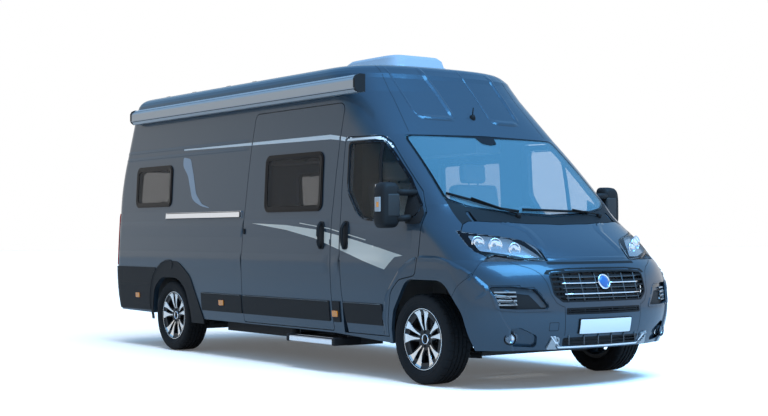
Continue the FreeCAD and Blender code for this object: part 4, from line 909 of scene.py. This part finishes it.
def shell_mesh(side):
    """The mirror's head: rounded rings from the glass side to the domed front."""
    around = 40
    rings = ((1.974, 0.90, 0.95), (1.9745, 0.975, 0.985), (1.982, 1.0, 1.0), (2.030, 0.99, 0.995),
             (2.062, 0.94, 0.965), (2.080, 0.85, 0.91), (2.089, 0.70, 0.80), (2.093, 0.45, 0.55))
    spots = []
    for x, wide, tall in rings:
        for angle in round_turn(around):
            over, up = math.cos(angle), math.sin(angle)
            power = 2 / 3.4 if over > 0 and up > 0 else 2 / 5.0
            spots.append((x, side * (1.160 + 0.0895 * wide * squared(over, power)),
                          1.3515 + 0.1750 * tall * squared(up, power)))
    faces = ring_faces(len(rings), around)
    faces += [tuple(range(around))[::-1], end_face(len(rings), around)]
    mesh = mesh_of(spots, faces)
    made = bmesh.new()
    made.from_mesh(mesh)
    bmesh.ops.recalc_face_normals(made, faces=made.faces[:])
    made.to_mesh(mesh)
    made.free()
    return mesh


def awning_details():
    """Two fine lines along the case, its end caps, and the fixings on the roof."""
    for label, z, tall in (("low", 2.292, 0.0025), ("top", 2.391, 0.0015)):
        drape(f"awning_line_{label}", rectangle(-2.62, z - tall, 1.41, z + tall), CHASSIS, RIGHT,
              ["awning"], 0.03)
    profile = [(-0.947, 2.271), (-1.010, 2.264), (-1.040, 2.285), (-1.048, 2.310),
               (-1.048, 2.375), (-1.032, 2.402), (-1.000, 2.416), (-0.947, 2.414)]
    count = len(profile)
    faces = [tuple(range(count)), tuple(range(count, 2 * count))[::-1]]
    faces += [(k, k + count, (k + 1) % count + count, (k + 1) % count) for k in range(count)]
    for label, low, high in (("front", 1.412, 1.438), ("rear", -2.648, -2.622)):
        points = [Vector((x, y, z)) for x in (low, high) for y, z in profile]
        piece(f"awning_end_{label}", mesh_of(points, faces), DARK, slot="dark_plastic")
    fixings = []
    for x in (-2.580, -2.010, -1.310, -0.820):
        top = hit(["roof_shell"], Vector((x, -0.620, 4)), Vector((0, 0, -1)))[0].z
        fixings.append(box_mesh((x - 0.035, -0.650, top - 0.010),
                                (x + 0.035, -0.590, top + 0.020), 0.006))
    piece("roof_fixings", fixings, DARK, slot="dark_plastic")


# Nose

def over_grille(y, z, out=0.0):
    """A point of the nose over an opening, from the slats above and below."""
    low_z, high_z = 0.748, 0.784
    low, high = [hit_from_ahead(["grille"], y, level)[0].x for level in (low_z, high_z)]
    return Vector((low + (high - low) * (z - low_z) / (high_z - low_z) + out, y, z))


def grille_trim():
    """Bright bars, the thin dark ones between them, and upright ribs."""
    bright, dark = [], []
    for z, low, high in ((0.771, -0.385, -0.062), (0.771, 0.062, 0.385), (0.694, -0.378, 0.378)):
        ys = [low + (high - low) * k / 10 for k in range(11)]
        bright.append(tube([over_grille(y, z, 0.004) for y in ys], 0.0055))
    for z, reach in ((0.812, 0.388), (0.735, 0.382), (0.664, 0.372)):
        ys = [-reach + 2 * reach * k / 20 for k in range(21)]
        dark.append(tube([over_grille(y, z, -0.002) for y in ys], 0.0032, 6))
    for k in range(-2, 4):
        y = (k - 0.5) * 0.143
        dark.append(tube([over_grille(y, z) for z in (0.645, 0.735, 0.838)], 0.0035, 6))
        slot_y = (k - 0.5) * 0.135
        for low_z, high_z in ((0.556, 0.612), (0.322, 0.398)):
            above = hit_from_ahead(["front_bumper"], slot_y, high_z + 0.02)
            if above:
                x = above[0].x - 0.005
                dark.append(tube([(x, slot_y, low_z), (x, slot_y, high_z)], 0.004, 6))
    piece("grille_bars", bright, CHROME, smooth=True, slot="bright_trim")
    piece("grille_ribs", dark, CAST, smooth=True, slot="dark_plastic")


def bonnet_front():
    """The dark brow over the grille, the gap above it and the lip of the bonnet."""
    half = [(-0.512, 0.838), (-0.478, 0.866), (-0.300, 0.880), (0.0, 0.884)]
    low = [(0.470, 0.835), (0.300, 0.858), (0.0, 0.862)]
    brow = half + [(-y, z) for y, z in reversed(half[:-1])] + low
    brow += [(-y, z) for y, z in reversed(low[:-1])]
    drape("grille_brow", brow, BLACK, FRONT, ["front_bumper"], 0.010)
    bead("bonnet_gap", [(-0.440, 0.921), (0.440, 0.921)], BLACK, FRONT, ["front_bumper"],
         [(-0.014, 0.0), (-0.004, 0.001), (0.004, 0.001), (0.014, 0.0)])
    bead("bonnet_lip", [(-0.430, 0.947), (0.430, 0.947)], PAINT, FRONT, ["bonnet"],
         [(-0.012, 0.0), (-0.004, 0.005), (0.004, 0.006), (0.014, 0.0)], slot="body_paint")


def badge():
    """The round plate at the middle of the grille."""
    middle = over_grille(0.0, 0.778, 0.012)
    way = (0.94, 0, 0.34)
    ring = lathe([(0.046, -0.02), (0.058, -0.02), (0.058, 0.006), (0.053, 0.010),
                  (0.047, 0.006)], middle, way, closed=True)
    piece("badge_ring", ring, CHROME, smooth=True, slot="bright_trim")
    face = lathe([(0.0, 0.008), (0.030, 0.007), (0.048, 0.002), (0.048, -0.02)], middle, way)
    piece("badge_face", face, BADGE, smooth=True)


def on_side(points, side):
    """Points of the right side, or the same on the left."""
    return [(-y * side, z) for y, z in points]


def front_details():
    """Plate, seams, scoops, fog lamps and the ends of the lower lip."""
    skins = ["front_bumper"]
    drape("plate_holder", rectangle(-0.262, 0.401, 0.262, 0.514, 0.008), BLACK, FRONT, skins, 0.03,
          thick=0.010)
    drape("plate_blank", rectangle(-0.256, 0.406, 0.256, 0.509, 0.008), PLATE, FRONT, skins, 0.03,
          lift=0.0135)
    seam = [(-0.827, 0.955), (-0.730, 0.930), (-0.655, 0.901), (-0.585, 0.877), (-0.538, 0.843),
            (-0.505, 0.780), (-0.486, 0.690), (-0.450, 0.632), (-0.409, 0.608), (-0.386, 0.602),
            (-0.382, 0.50), (-0.372, 0.392)]
    for side, tag in BOTH:
        bead(f"fascia_seam_{tag}", on_side(seam, side), BLACK, FRONT, skins,
             [(-0.0018, 0.0), (0.0018, 0.0)], step=0.014)
        scoop(side, tag)
        louvre(side, tag)
        if side < 0:
            drape("tow_cover", rectangle(-0.508, 0.430, -0.432, 0.492, 0.008), BLACK, FRONT, skins,
                  0.012, lift=0.0008,
                  hole=rounded(grown(rectangle(-0.508, 0.430, -0.432, 0.492), -0.003), 0.008))
        fog_lamp(side, tag)
        end = [(0.400 * side, 0.300), (0.500 * side, 0.300), (0.474 * side, 0.392),
               (0.418 * side, 0.384)]
        drape(f"lip_end_{tag}", rounded(end, 0.012), SILVER, FRONT, skins + ["front_lip"],
              lift=0.001, thick=0.012)


def scoop(side, tag):
    """Painted rim round the scoop of the bumper, and the ledge inside it."""
    rim = [(-0.905, 0.712), (-0.900, 0.768), (-0.780, 0.772), (-0.600, 0.748), (-0.482, 0.575),
           (-0.735, 0.572), (-0.880, 0.588)]
    mouth = [(-0.896, 0.700), (-0.892, 0.752), (-0.768, 0.754), (-0.604, 0.732), (-0.505, 0.592),
             (-0.738, 0.589), (-0.866, 0.602)]
    drape(f"scoop_rim_{tag}", rounded(on_side(rim, side), 0.03), PAINT, FRONT, ["front_bumper"],
          lift=0.001, thick=0.003, hole=rounded(on_side(mouth, side), 0.03), slot="body_paint")
    # The ledge lays body colour along the top and inner side of the scoop, so the painted shade on its dark face stays
    # in the middle of the recess.
    ledge = [(-0.890, 0.748), (-0.768, 0.750), (-0.607, 0.728), (-0.510, 0.600), (-0.560, 0.600),
             (-0.640, 0.690), (-0.780, 0.708), (-0.878, 0.704)]
    drape(f"scoop_ledge_{tag}", on_side(ledge, side), PAINT, FRONT, ["bumper_inserts"],
          lift=0.002, slot="body_paint")


def between(start, end, share):
    return tuple(a + (b - a) * share for a, b in zip(start, end))


def louvre(side, tag):
    """A dark opening in the scoop, with a thin frame and three slats."""
    corners = on_side([(-0.871, 0.694), (-0.778, 0.684), (-0.724, 0.618), (-0.838, 0.626)], side)
    drape(f"louvre_dark_{tag}", corners, BLACK, FRONT, ["bumper_inserts"], 0.012, lift=0.001)
    outline = rounded(corners, 0.016, 3)
    slats = [tube([scoop_point(y, z) for y, z in outline + outline[:1]], 0.0036, 6)]
    for share in (0.25, 0.5, 0.75):
        start = between(corners[0], corners[3], share)
        end = between(corners[1], corners[2], share)
        points = [between(start, end, k / 4) for k in range(5)]
        slats.append(tube([scoop_point(y, z) for y, z in points], 0.0030, 6))
    piece(f"louvre_{tag}", slats, SILVER, smooth=True, slot="bright_trim")


def fog_lamp(side, tag):
    """A dark ring, a bright bowl and a clear lens."""
    found = hit_from_ahead(["bumper_inserts"], 0.775 * side, 0.379)
    centre = found[0] + Vector((0.020, 0, 0))
    way = (0.93, 0.36 * side, 0)
    ring = lathe([(0.036, -0.03), (0.0455, -0.03), (0.0455, 0.003),
                  (0.042, 0.006), (0.037, 0.0)], centre, way, 40, closed=True)
    piece(f"fog_ring_{tag}", ring, GLOSS_BLACK, smooth=True)
    bowl = lathe([(0.0, -0.018), (0.018, -0.014), (0.026, -0.008),
                  (0.031, -0.002)], centre, way, 32)
    piece(f"fog_bowl_{tag}", bowl, REFLECTOR, smooth=True)
    lens = lathe([(0.0, 0.006), (0.022, 0.004), (0.037, 0.0)], centre, way, 32)
    piece(f"fog_lens_{tag}", lens, LAMP_CLEAR, smooth=True, slot="lamp_clear")


def scoop_point(y, z):
    """A point a little inside the mouth of the bumper's scoop."""
    depth = 0.014
    return Vector((nose_x(y, z) - depth, y, z))


def nose_x(y, z):
    """The nose's surface over an opening, from the bumper above and below it."""
    low_z, high_z, where_open = 0.55, 0.80, 2.9
    found = [hit_from_ahead(["front_bumper"], y, level) for level in (low_z, high_z)]
    low, high = [each[0].x if each else where_open for each in found]
    return low + (high - low) * (z - low_z) / (high_z - low_z)


LAMP_OUTLINE = [(2.519, -0.894, 1.158), (2.604, -0.797, 1.148), (2.692, -0.683, 1.125),
                (2.763, -0.571, 1.102), (2.822, -0.492, 1.068), (2.907, -0.454, 1.003),
                (2.992, -0.435, 0.935), (2.927, -0.628, 0.943), (2.825, -0.779, 0.973),
                (2.815, -0.830, 0.954), (2.730, -0.885, 0.992), (2.648, -0.902, 1.050)]
LAMP_INNER = [(2.606, -0.853, 1.119), (2.690, -0.735, 1.112), (2.767, -0.590, 1.090),
              (2.848, -0.515, 1.030), (2.960, -0.450, 0.952), (2.930, -0.570, 0.952),
              (2.808, -0.770, 0.990), (2.740, -0.850, 1.000)]


def headlamps():
    """A dark bezel and a metal floor behind the lens, with three ringed bowls."""
    for side, tag in BOTH:
        view = CORNER[side]
        outline, inner = [[view.flat((x, -y * side, z)) for x, y, z in line]
                          for line in (LAMP_OUTLINE, LAMP_INNER)]
        drape(f"lamp_bezel_{tag}", rounded(grown(outline, 0.004), 0.01), GLOSS_BLACK, view,
              ["headlamps"], 0.012, lift=0.0012, hole=rounded(inner, 0.02))
        drape(f"lamp_floor_{tag}", rounded(grown(inner, 0.01), 0.02), LAMP_FLOOR, view,
              ["headlamps"], lift=-0.020)
        rings, bowls = [], []
        for (x, y, z), radius in (((2.690, -0.820, 1.062), 0.048), ((2.772, -0.722, 1.046), 0.052),
                                  ((2.850, -0.606, 1.018), 0.044)):
            spot = view.flat((x, -y * side, z))
            centre = hit(["headlamps"], view.ray(*spot), view.way)[0] + view.way * 0.006
            way = (0.9, 0.25 * side, 0.1)
            rings.append(lathe([(radius - 0.005, 0), (radius, 0.004), (radius + 0.005, 0),
                                (radius, -0.012)], centre, way, 32, closed=True))
            bowls.append(lathe([(0.0, -0.030), (radius * 0.3, -0.029),
                                (radius * 0.34, -0.014), (radius * 0.5, -0.020),
                                (radius * 0.8, -0.010), (radius, 0.0)], centre, way, 32))
        piece(f"lamp_rings_{tag}", rings, CHROME, smooth=True)
        piece(f"lamp_bowls_{tag}", bowls, REFLECTOR, smooth=True)


def wipers():
    """Two wipers at rest: a blade along the glass, an arm and the cap of its pivot."""
    names = ["fixed_glass", "cowl", "cab_frame", "bonnet"]

    def over(y, z, out):
        return hit_from_ahead(names, y, z)[0] + Vector((0.6, 0, 0.8)) * out

    parts = []
    for blade, pivot, elbow in (
            ([(-0.800, 1.428), (-0.652, 1.378), (-0.455, 1.312), (-0.300, 1.290)],
             (-0.330, 1.262), 1), ([(-0.250, 1.305), (-0.034, 1.300), (0.250, 1.294),
                                    (0.447, 1.290)], (0.560, 1.268), 2)):
        points = [over(y, z, 0.016) for y, z in blade]
        parts.append(tube(points, 0.007, 6, 1.6))
        arm = [over(*pivot, 0.02), over(*blade[elbow], 0.034)]
        parts.append(tube(arm, 0.009, 6, 0.7))
        parts.append(lathe([(0.0, 0.022), (0.018, 0.020), (0.022, 0.0), (0.022, -0.03)],
                           over(*pivot, 0.008), (0.5, 0, 0.86), 16))
    piece("wipers", parts, BLACK, smooth=True)


def windscreen_edge():
    """The dark border of the windscreen, found from the edge of the glass, and its upper pad."""
    middle_z, turns, halvings = 1.600, 200, 14
    gap, border, lift = 0.001, 0.017, 0.0015

    def over(turn, reach):
        spot = (math.cos(turn) * reach, middle_z + math.sin(turn) * reach)
        found = hit(["fixed_glass"], FRONT.ray(*spot), FRONT.way)
        return found if found and found[0].x > 1.0 and abs(found[0].y) < 0.93 else None

    spots, faces = [], []
    for index, turn in enumerate(round_turn(turns)):
        inside, outside = 0.15, 1.30
        for _ in range(halvings):
            middle = (inside + outside) / 2
            inside, outside = (middle, outside) if over(turn, middle) else (inside, middle)
        for reach in (inside - gap, inside - border):
            point, normal = over(turn, reach)[:2]
            spots.append(point + normal * lift)
        a, b = 2 * index, 2 * (index + 1) % (2 * turns)
        faces.append((a, b, b + 1, a + 1))
    mesh = mesh_of(spots, faces)
    if mesh.polygons[0].normal.x < 0:
        mesh.flip_normals()
    piece("screen_edge", mesh, GLOSS_BLACK, smooth=True)
    pad = [(-0.10, 1.912), (0.10, 1.912), (0.075, 1.862), (0.0, 1.850), (-0.075, 1.862)]
    drape("screen_pad", rounded(pad, 0.01), GLOSS_BLACK, FRONT, ["fixed_glass"], 0.014, 0.0022)


# Wheels and tyres

def wheels():
    """Tyre, hub cap, bolts and the bright faces of each rim."""
    for corner in ("front_right", "front_left", "rear_right", "rear_left"):
        side = -1 if "right" in corner else 1
        x, hub = (FRONT_AXLE, 0.890) if "front" in corner else (REAR_AXLE, 0.885)
        body = BODY[f"rim_{corner}"]
        centre, axis = (x, hub * side, WHEEL_Z), (0, side, 0)
        shown = piece(f"tyre_dressed_{corner}", tyre_mesh(centre, side),
                      RUBBER, body, slot="tyre_rubber")
        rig.replaces(shown, f"tyre_{corner}")
        cap = lathe([(0.0, 0.074), (0.020, 0.073), (0.030, 0.070),
                     (0.034, 0.060)], centre, axis, 32)
        piece(f"hub_cap_{corner}", cap, GLOSS_BLACK, body, smooth=True)
        ring = lathe([(0.034, 0.058), (0.034, 0.0735), (0.038, 0.0725),
                      (0.040, 0.058)], centre, axis, 32, closed=True)
        piece(f"hub_ring_{corner}", ring, CHROME, body, smooth=True)
        piece(f"lug_bolts_{corner}", bolt_meshes(centre, axis), CHASSIS, body)
        piece(f"rim_blades_{corner}", blade_mesh(centre, side), ALLOY, body, slot="rim_alloy")
        edge = lathe([(0.2325, 0.088), (0.2325, 0.0958), (0.227, 0.0958),
                      (0.224, 0.089)], centre, axis, 64, closed=True)
        piece(f"rim_edge_{corner}", edge, ALLOY, body, smooth=True, slot="rim_alloy")


def bolt_meshes(centre, axis):
    count, circle = 5, 0.056
    bolts = []
    for turn in range(count):
        angle = 2 * math.pi * (turn + 0.5) / count
        place = (centre[0] + circle * math.cos(angle), centre[1],
                 centre[2] + circle * math.sin(angle))
        bolts.append(lathe([(0.0, 0.074), (0.008, 0.074), (0.009, 0.071),
                            (0.009, 0.055)], place, axis, 6))
    return bolts


RIM_FACE = ((0.070, 0.075, 0.120, 0.204, 0.224), (0.0658, 0.066, 0.076, 0.083, 0.0945))
BLADE_EDGES = (((0.070, 20.0, 28.0), (0.120, 20.3, 29.0), (0.186, 19.8, 33.0), (0.221, 18.0, 36.0)),
               ((0.070, 68.0, 76.0), (0.120, 67.5, 76.5), (0.186, 64.0, 79.4), (0.221, 61.0, 81.0)))


def blade_mesh(centre, side):
    """The bright faces of the ten blades, a little proud of the dark wheel."""
    spots, faces = [], []
    for turn in range(5):
        for edges in BLADE_EDGES:
            base = len(spots)
            rows = np.linspace(edges[0][0], edges[-1][0], 12)
            for radius in rows:
                known = [row[0] for row in edges]
                first = np.interp(radius, known, [row[1] for row in edges])
                last = np.interp(radius, known, [row[2] for row in edges])
                face = float(np.interp(radius, *RIM_FACE))
                for share, out in ((0.0, -0.002), (0.06, 0.0015), (0.94, 0.0015), (1.0, -0.002)):
                    angle = math.radians(72 * turn + first + (last - first) * share)
                    spots.append((centre[0] + side * radius * math.cos(angle),
                                  centre[1] + side * (face + out),
                                  centre[2] + radius * math.sin(angle)))
            for row in range(len(rows) - 1):
                for column in range(3):
                    a = base + row * 4 + column
                    faces.append((a, a + 1, a + 5, a + 4))
    mesh = mesh_of(spots, faces)
    if mesh.polygons[4].normal.y * side < 0:
        mesh.flip_normals()
    return mesh


def tyre_mesh(centre, side):
    """A tyre with grooves round it and cross cuts in its shoulders and ribs."""
    half = [(0.214, 0.0875), (0.2335, 0.0880), (0.2400, 0.0965), (0.2520, 0.1065),
            (0.2680, 0.1125), (0.2700, 0.1140), (0.2740, 0.1140), (0.2760, 0.1130),
            (0.2920, 0.1148), (0.3080, 0.1140), (0.3200, 0.1110), (0.3300, 0.1050),
            (0.3370, 0.0960), (0.3400, 0.0860), (0.3405, 0.0620), (0.3330, 0.0600),
            (0.3330, 0.0520), (0.3410, 0.0500), (0.3418, 0.0240), (0.3335, 0.0220),
            (0.3335, 0.0140), (0.3420, 0.0120)]
    rows = half + [(radius, -along) for radius, along in reversed(half)]
    segments = 180
    spots = []
    for turn, angle in enumerate(round_turn(segments)):
        for radius, along in rows:
            if abs(along) > 0.055 and radius > 0.325 and turn % 6 == 0:
                radius -= 0.0060 if radius > 0.335 else 0.0020
            if 0.020 < abs(along) < 0.056 and radius > 0.338 and (turn + 3) % 6 == 0:
                radius -= 0.0050
            spots.append((centre[0] + radius * math.cos(angle), centre[1] + along * side,
                          centre[2] + radius * math.sin(angle)))
    faces = turned_faces(segments, len(rows), True)
    return mesh_of(spots, faces if side < 0 else [face[::-1] for face in faces])


# Cabin and rear

def cabin():
    """Padded cab seats on their bases, and what stands out of the dashboard."""
    pads, bases = [], []
    for side in (-1, 1):
        low, high = sorted((0.180 * side, 0.680 * side))
        middle = (low + high) / 2
        cushion = box_mesh((1.155, low, 0.855), (1.565, high, 0.975), 0.045, 4)
        back = box_mesh((-0.058, low + 0.01, 0.0), (0.062, high - 0.01, 0.600), 0.045, 4)
        back.transform(Matrix.Translation((1.218, 0, 0.965)) @ Matrix.Rotation(-0.19, 4, "Y"))
        head = box_mesh((-0.045, middle - 0.125, 0.0), (0.045, middle + 0.125, 0.165), 0.04, 4)
        head.transform(Matrix.Translation((1.112, 0, 1.575)) @ Matrix.Rotation(-0.10, 4, "Y"))
        pads += [cushion, back, head]
        bases.append(box_mesh((1.190, low + 0.04, 0.5905), (1.480, high - 0.04, 0.858), 0.01))
        bases += [tube([(1.122, middle + offset, 1.545), (1.114, middle + offset, 1.60)],
                       0.007) for offset in (-0.05, 0.05)]
    shown = piece("seat_pads", pads, FABRIC, smooth=True, slot="seat_fabric")
    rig.replaces(shown, "cab_seats")
    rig.padded(shown, fill=0.85)
    base = piece("seat_bases", bases, DASH, slot="dash_plastic")
    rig.replaces(base, "cab_seats")
    parts = [box_mesh((1.93, 0.22, 1.19), (2.06, 0.64, 1.262), 0.03, 3),
             box_mesh((1.905, -0.12, 1.08), (1.93, 0.12, 1.20), 0.008)]
    piece("dash_parts", parts, DASH, slot="dash_plastic")


def rear_details():
    """Seals round the rear windows, parts of the lamps, plate and handle."""
    for side, tag in BOTH:
        low, high = sorted((0.700 * side, 0.120 * side))
        drape(f"rear_seal_{tag}", rectangle(low - 0.022, 1.408, high + 0.022, 1.822, 0.07),
              GLOSS_BLACK, REAR, [f"rear_door_{tag}"], 0.02, 0.0015,
              hole=rectangle(low, 1.430, high, 1.800, 0.06))
        low, high = sorted((0.880 * side, 0.985 * side))
        for label, bottom, top, made in (("amber", 1.215, 1.335, AMBER),
                                         ("white", 1.085, 1.195, LAMP_WHITE)):
            drape(f"tail_{label}_{tag}", rectangle(low, bottom, high, top, 0.012), made, REAR,
                  ["tail_lamps"], 0.012, 0.001, thick=0.002)
    drape("rear_plate_blank", rectangle(-0.600, 0.640, -0.080, 0.750, 0.008), PLATE, REAR,
          ["rear_door_right"], 0.03, 0.001, thick=0.004)
    drape("rear_handle", rectangle(-0.075, 0.960, -0.035, 1.180, 0.016), DARK, REAR,
          ["rear_door_right"], 0.012, 0.001, thick=0.022, slot="dark_plastic")
    drape("high_brake_lamp", rectangle(-0.14, 2.168, 0.14, 2.188, 0.006), LAMP_RED, REAR,
          ["rear_frame", "roof_shell"], 0.02, 0.001, thick=0.010, slot="lamp_red")


def step_details():
    """Ribs, bright edges and end caps of the entry step."""
    body = BODY["step_tread"]
    ribs = []
    for k in range(7):
        y = -1.030 + k * 0.038
        ribs.append(box_mesh((0.445, y, 0.2765), (1.105, y + 0.012, 0.2795)))
    piece("step_ribs", ribs, DARK, body, slot="dark_plastic")
    bright = [box_mesh((0.450, -1.0485, 0.236), (1.100, -1.0425, 0.270), 0.002),
              box_mesh((0.450, -0.985, 0.2790), (1.100, -0.930, 0.2830), 0.0015)]
    piece("step_edge", bright, BRIGHT, body, slot="bright_trim")
    caps = [box_mesh((low, -1.052, 0.226), (low + 0.045, -0.780, 0.290), 0.010, 3)
            for low in (0.405, 1.100)]
    piece("step_caps", caps, DARK, body, smooth=True, slot="dark_plastic")


creases()
roof_front()
rooflight_dome()
stripes()
cab_doors()
side_details()
mirrors()
awning_details()
grille_trim()
bonnet_front()
badge()
front_details()
headlamps()
windscreen_edge()
wipers()
wheels()
cabin()
rear_details()
step_details()

# Light, floor and camera


def math_node(graph, operation, *values):
    """The result of a sum whose values are numbers or outputs of other nodes."""
    made = graph.nodes.new("ShaderNodeMath")
    made.operation = operation
    for socket, value in zip(made.inputs, values):
        if isinstance(value, float):
            socket.default_value = value
        else:
            graph.links.new(value, socket)
    return made.outputs[0]


def seen_rays(graph):
    """One where a ray comes from the camera, a mirror-like surface or glass, else zero."""
    path = graph.nodes.new("ShaderNodeLightPath")
    found = path.outputs["Is Camera Ray"]
    for kind in ("Is Glossy Ray", "Is Transmission Ray"):
        found = math_node(graph, "MAXIMUM", found, path.outputs[kind])
    return found


def sky(graph, height, strength, stops):
    """A background whose colour follows the height above the horizon."""
    ramp = graph.nodes.new("ShaderNodeValToRGB")
    kept = ramp.color_ramp.elements
    for index, (position, color) in enumerate(stops):
        stop = kept[index] if index < 2 else kept.new(position)
        stop.position, stop.color = position, (*color, 1)
    made = graph.nodes.new("ShaderNodeBackground")
    made.inputs["Strength"].default_value = strength
    graph.links.new(height, ramp.inputs[0])
    graph.links.new(ramp.outputs[0], made.inputs["Color"])
    return made.outputs[0]


def surroundings():
    """One sky for what is seen and mirrored, and another that lights the van."""
    world = bpy.data.worlds.new("world")
    scene.world = world
    world.use_nodes = True
    graph = world.node_tree
    graph.nodes.clear()
    out = graph.nodes.new("ShaderNodeOutputWorld")
    place = graph.nodes.new("ShaderNodeTexCoord")
    parts = graph.nodes.new("ShaderNodeSeparateXYZ")
    graph.links.new(place.outputs["Generated"], parts.inputs[0])
    height = math_node(graph, "MULTIPLY_ADD", parts.outputs["Z"], 0.5, 0.5)
    seen = sky(graph, height, 1.0, ((0.0, (1.0, 1.0, 1.0)), (1.0, (0.16, 0.46, 1.0)),
                                    (0.60, (1.0, 1.0, 1.0)), (0.68, (0.45, 0.72, 1.0)),
                                    (0.80, (0.20, 0.52, 1.0))))
    lit = sky(graph, height, 0.72, ((0.0, (0.60, 0.58, 0.55)), (1.0, (0.30, 0.62, 1.0)),
                                    (0.49, (0.55, 0.55, 0.55)), (0.54, (0.62, 0.68, 0.74)),
                                    (0.66, (0.50, 0.74, 1.0))))
    mix = graph.nodes.new("ShaderNodeMixShader")
    for source, socket in zip((seen_rays(graph), lit, seen), mix.inputs):
        graph.links.new(source, socket)
    graph.links.new(mix.outputs[0], out.inputs["Surface"])


def floor():
    """A floor that is pale to the camera, and darker in mirrors and as a source of light."""
    half, level = 90, -0.001
    mesh = mesh_of([(-half, -half, level), (half, -half, level), (half, half, level),
                    (-half, half, level)], [(0, 1, 2, 3)])
    ground = bpy.data.objects.new("ground", mesh)
    scene.collection.objects.link(ground)
    pale = material("pale_floor", (0.93, 0.93, 0.93), rough=0.9, specular=0.1)
    graph = pale.node_tree
    inputs = graph.nodes["Principled BSDF"].inputs
    tone = graph.nodes.new("ShaderNodeValToRGB")
    tone.color_ramp.elements[0].color = (0.34, 0.35, 0.36, 1)
    tone.color_ramp.elements[1].color = (0.93, 0.93, 0.93, 1)
    path = graph.nodes.new("ShaderNodeLightPath")
    seen = seen_rays(graph)
    share = math_node(graph, "MULTIPLY", seen, 0.35)
    whole = math_node(graph, "MAXIMUM", share, path.outputs["Is Camera Ray"])
    graph.links.new(whole, tone.inputs[0])
    graph.links.new(tone.outputs[0], inputs["Base Color"])
    inputs["Emission Color"].default_value = (1, 1, 1, 1)
    graph.links.new(math_node(graph, "MULTIPLY", seen, 0.10), inputs["Emission Strength"])
    mesh.materials.append(pale)
    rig.stage(ground)


def lamp(name, kind, place, target, power, color, **sizes):
    data = bpy.data.lights.new(name, kind)
    data.energy = power
    data.color = color
    for key, value in sizes.items():
        setattr(data, key, value)
    shown = bpy.data.objects.new(name, data)
    scene.collection.objects.link(shown)
    way = Vector(target) - Vector(place)
    shown.rotation_mode = "QUATERNION"
    shown.rotation_quaternion = way.to_track_quat("-Z", "Y")
    shown.location = place
    return shown


def lamps():
    """A soft sun, kept out of the reflections, and a large cool lamp high ahead of the nose."""
    sun = lamp("sun", "SUN", (4, -1.0, 10), (0, 0, 0), 2.5, (1.0, 0.99, 0.97), angle=0.6)
    sun.visible_glossy = False
    lamp("front", "AREA", (9, 1, 12), (2, 0, 1.4), 3300, (0.16, 0.54, 1.0), shape="RECTANGLE",
         size=10, size_y=7)


def camera():
    """The photograph's view: its focal length in pixels of a frame 768 wide, and its turns."""
    sensor_width, focal_pixels, frame_width = 36.0, 1406.1, 768.0
    yaw, pitch, roll = 0.624274, 0.0192323, -0.0022383
    place = (10.63685, -7.39131, 1.12438)
    data = bpy.data.cameras.new("camera")
    data.sensor_fit = "HORIZONTAL"
    data.sensor_width = sensor_width
    data.lens = sensor_width * focal_pixels / frame_width
    data.clip_start, data.clip_end = 0.5, 200.0
    shown = bpy.data.objects.new("camera", data)
    scene.collection.objects.link(shown)
    way = Vector((-math.cos(yaw) * math.cos(pitch), math.sin(yaw) * math.cos(pitch),
                  math.sin(pitch)))
    right = way.cross(Vector((0, 0, 1))).normalized()
    up = right.cross(way)
    across = right * math.cos(roll) + up * math.sin(roll)
    upward = up * math.cos(roll) - right * math.sin(roll)
    turn = Matrix((across, upward, -way)).transposed().to_4x4()
    shown.matrix_world = Matrix.Translation(place) @ turn
    scene.camera = shown


surroundings()
floor()
lamps()
camera()
scene.view_settings.view_transform = "Standard"
note_size("shown")
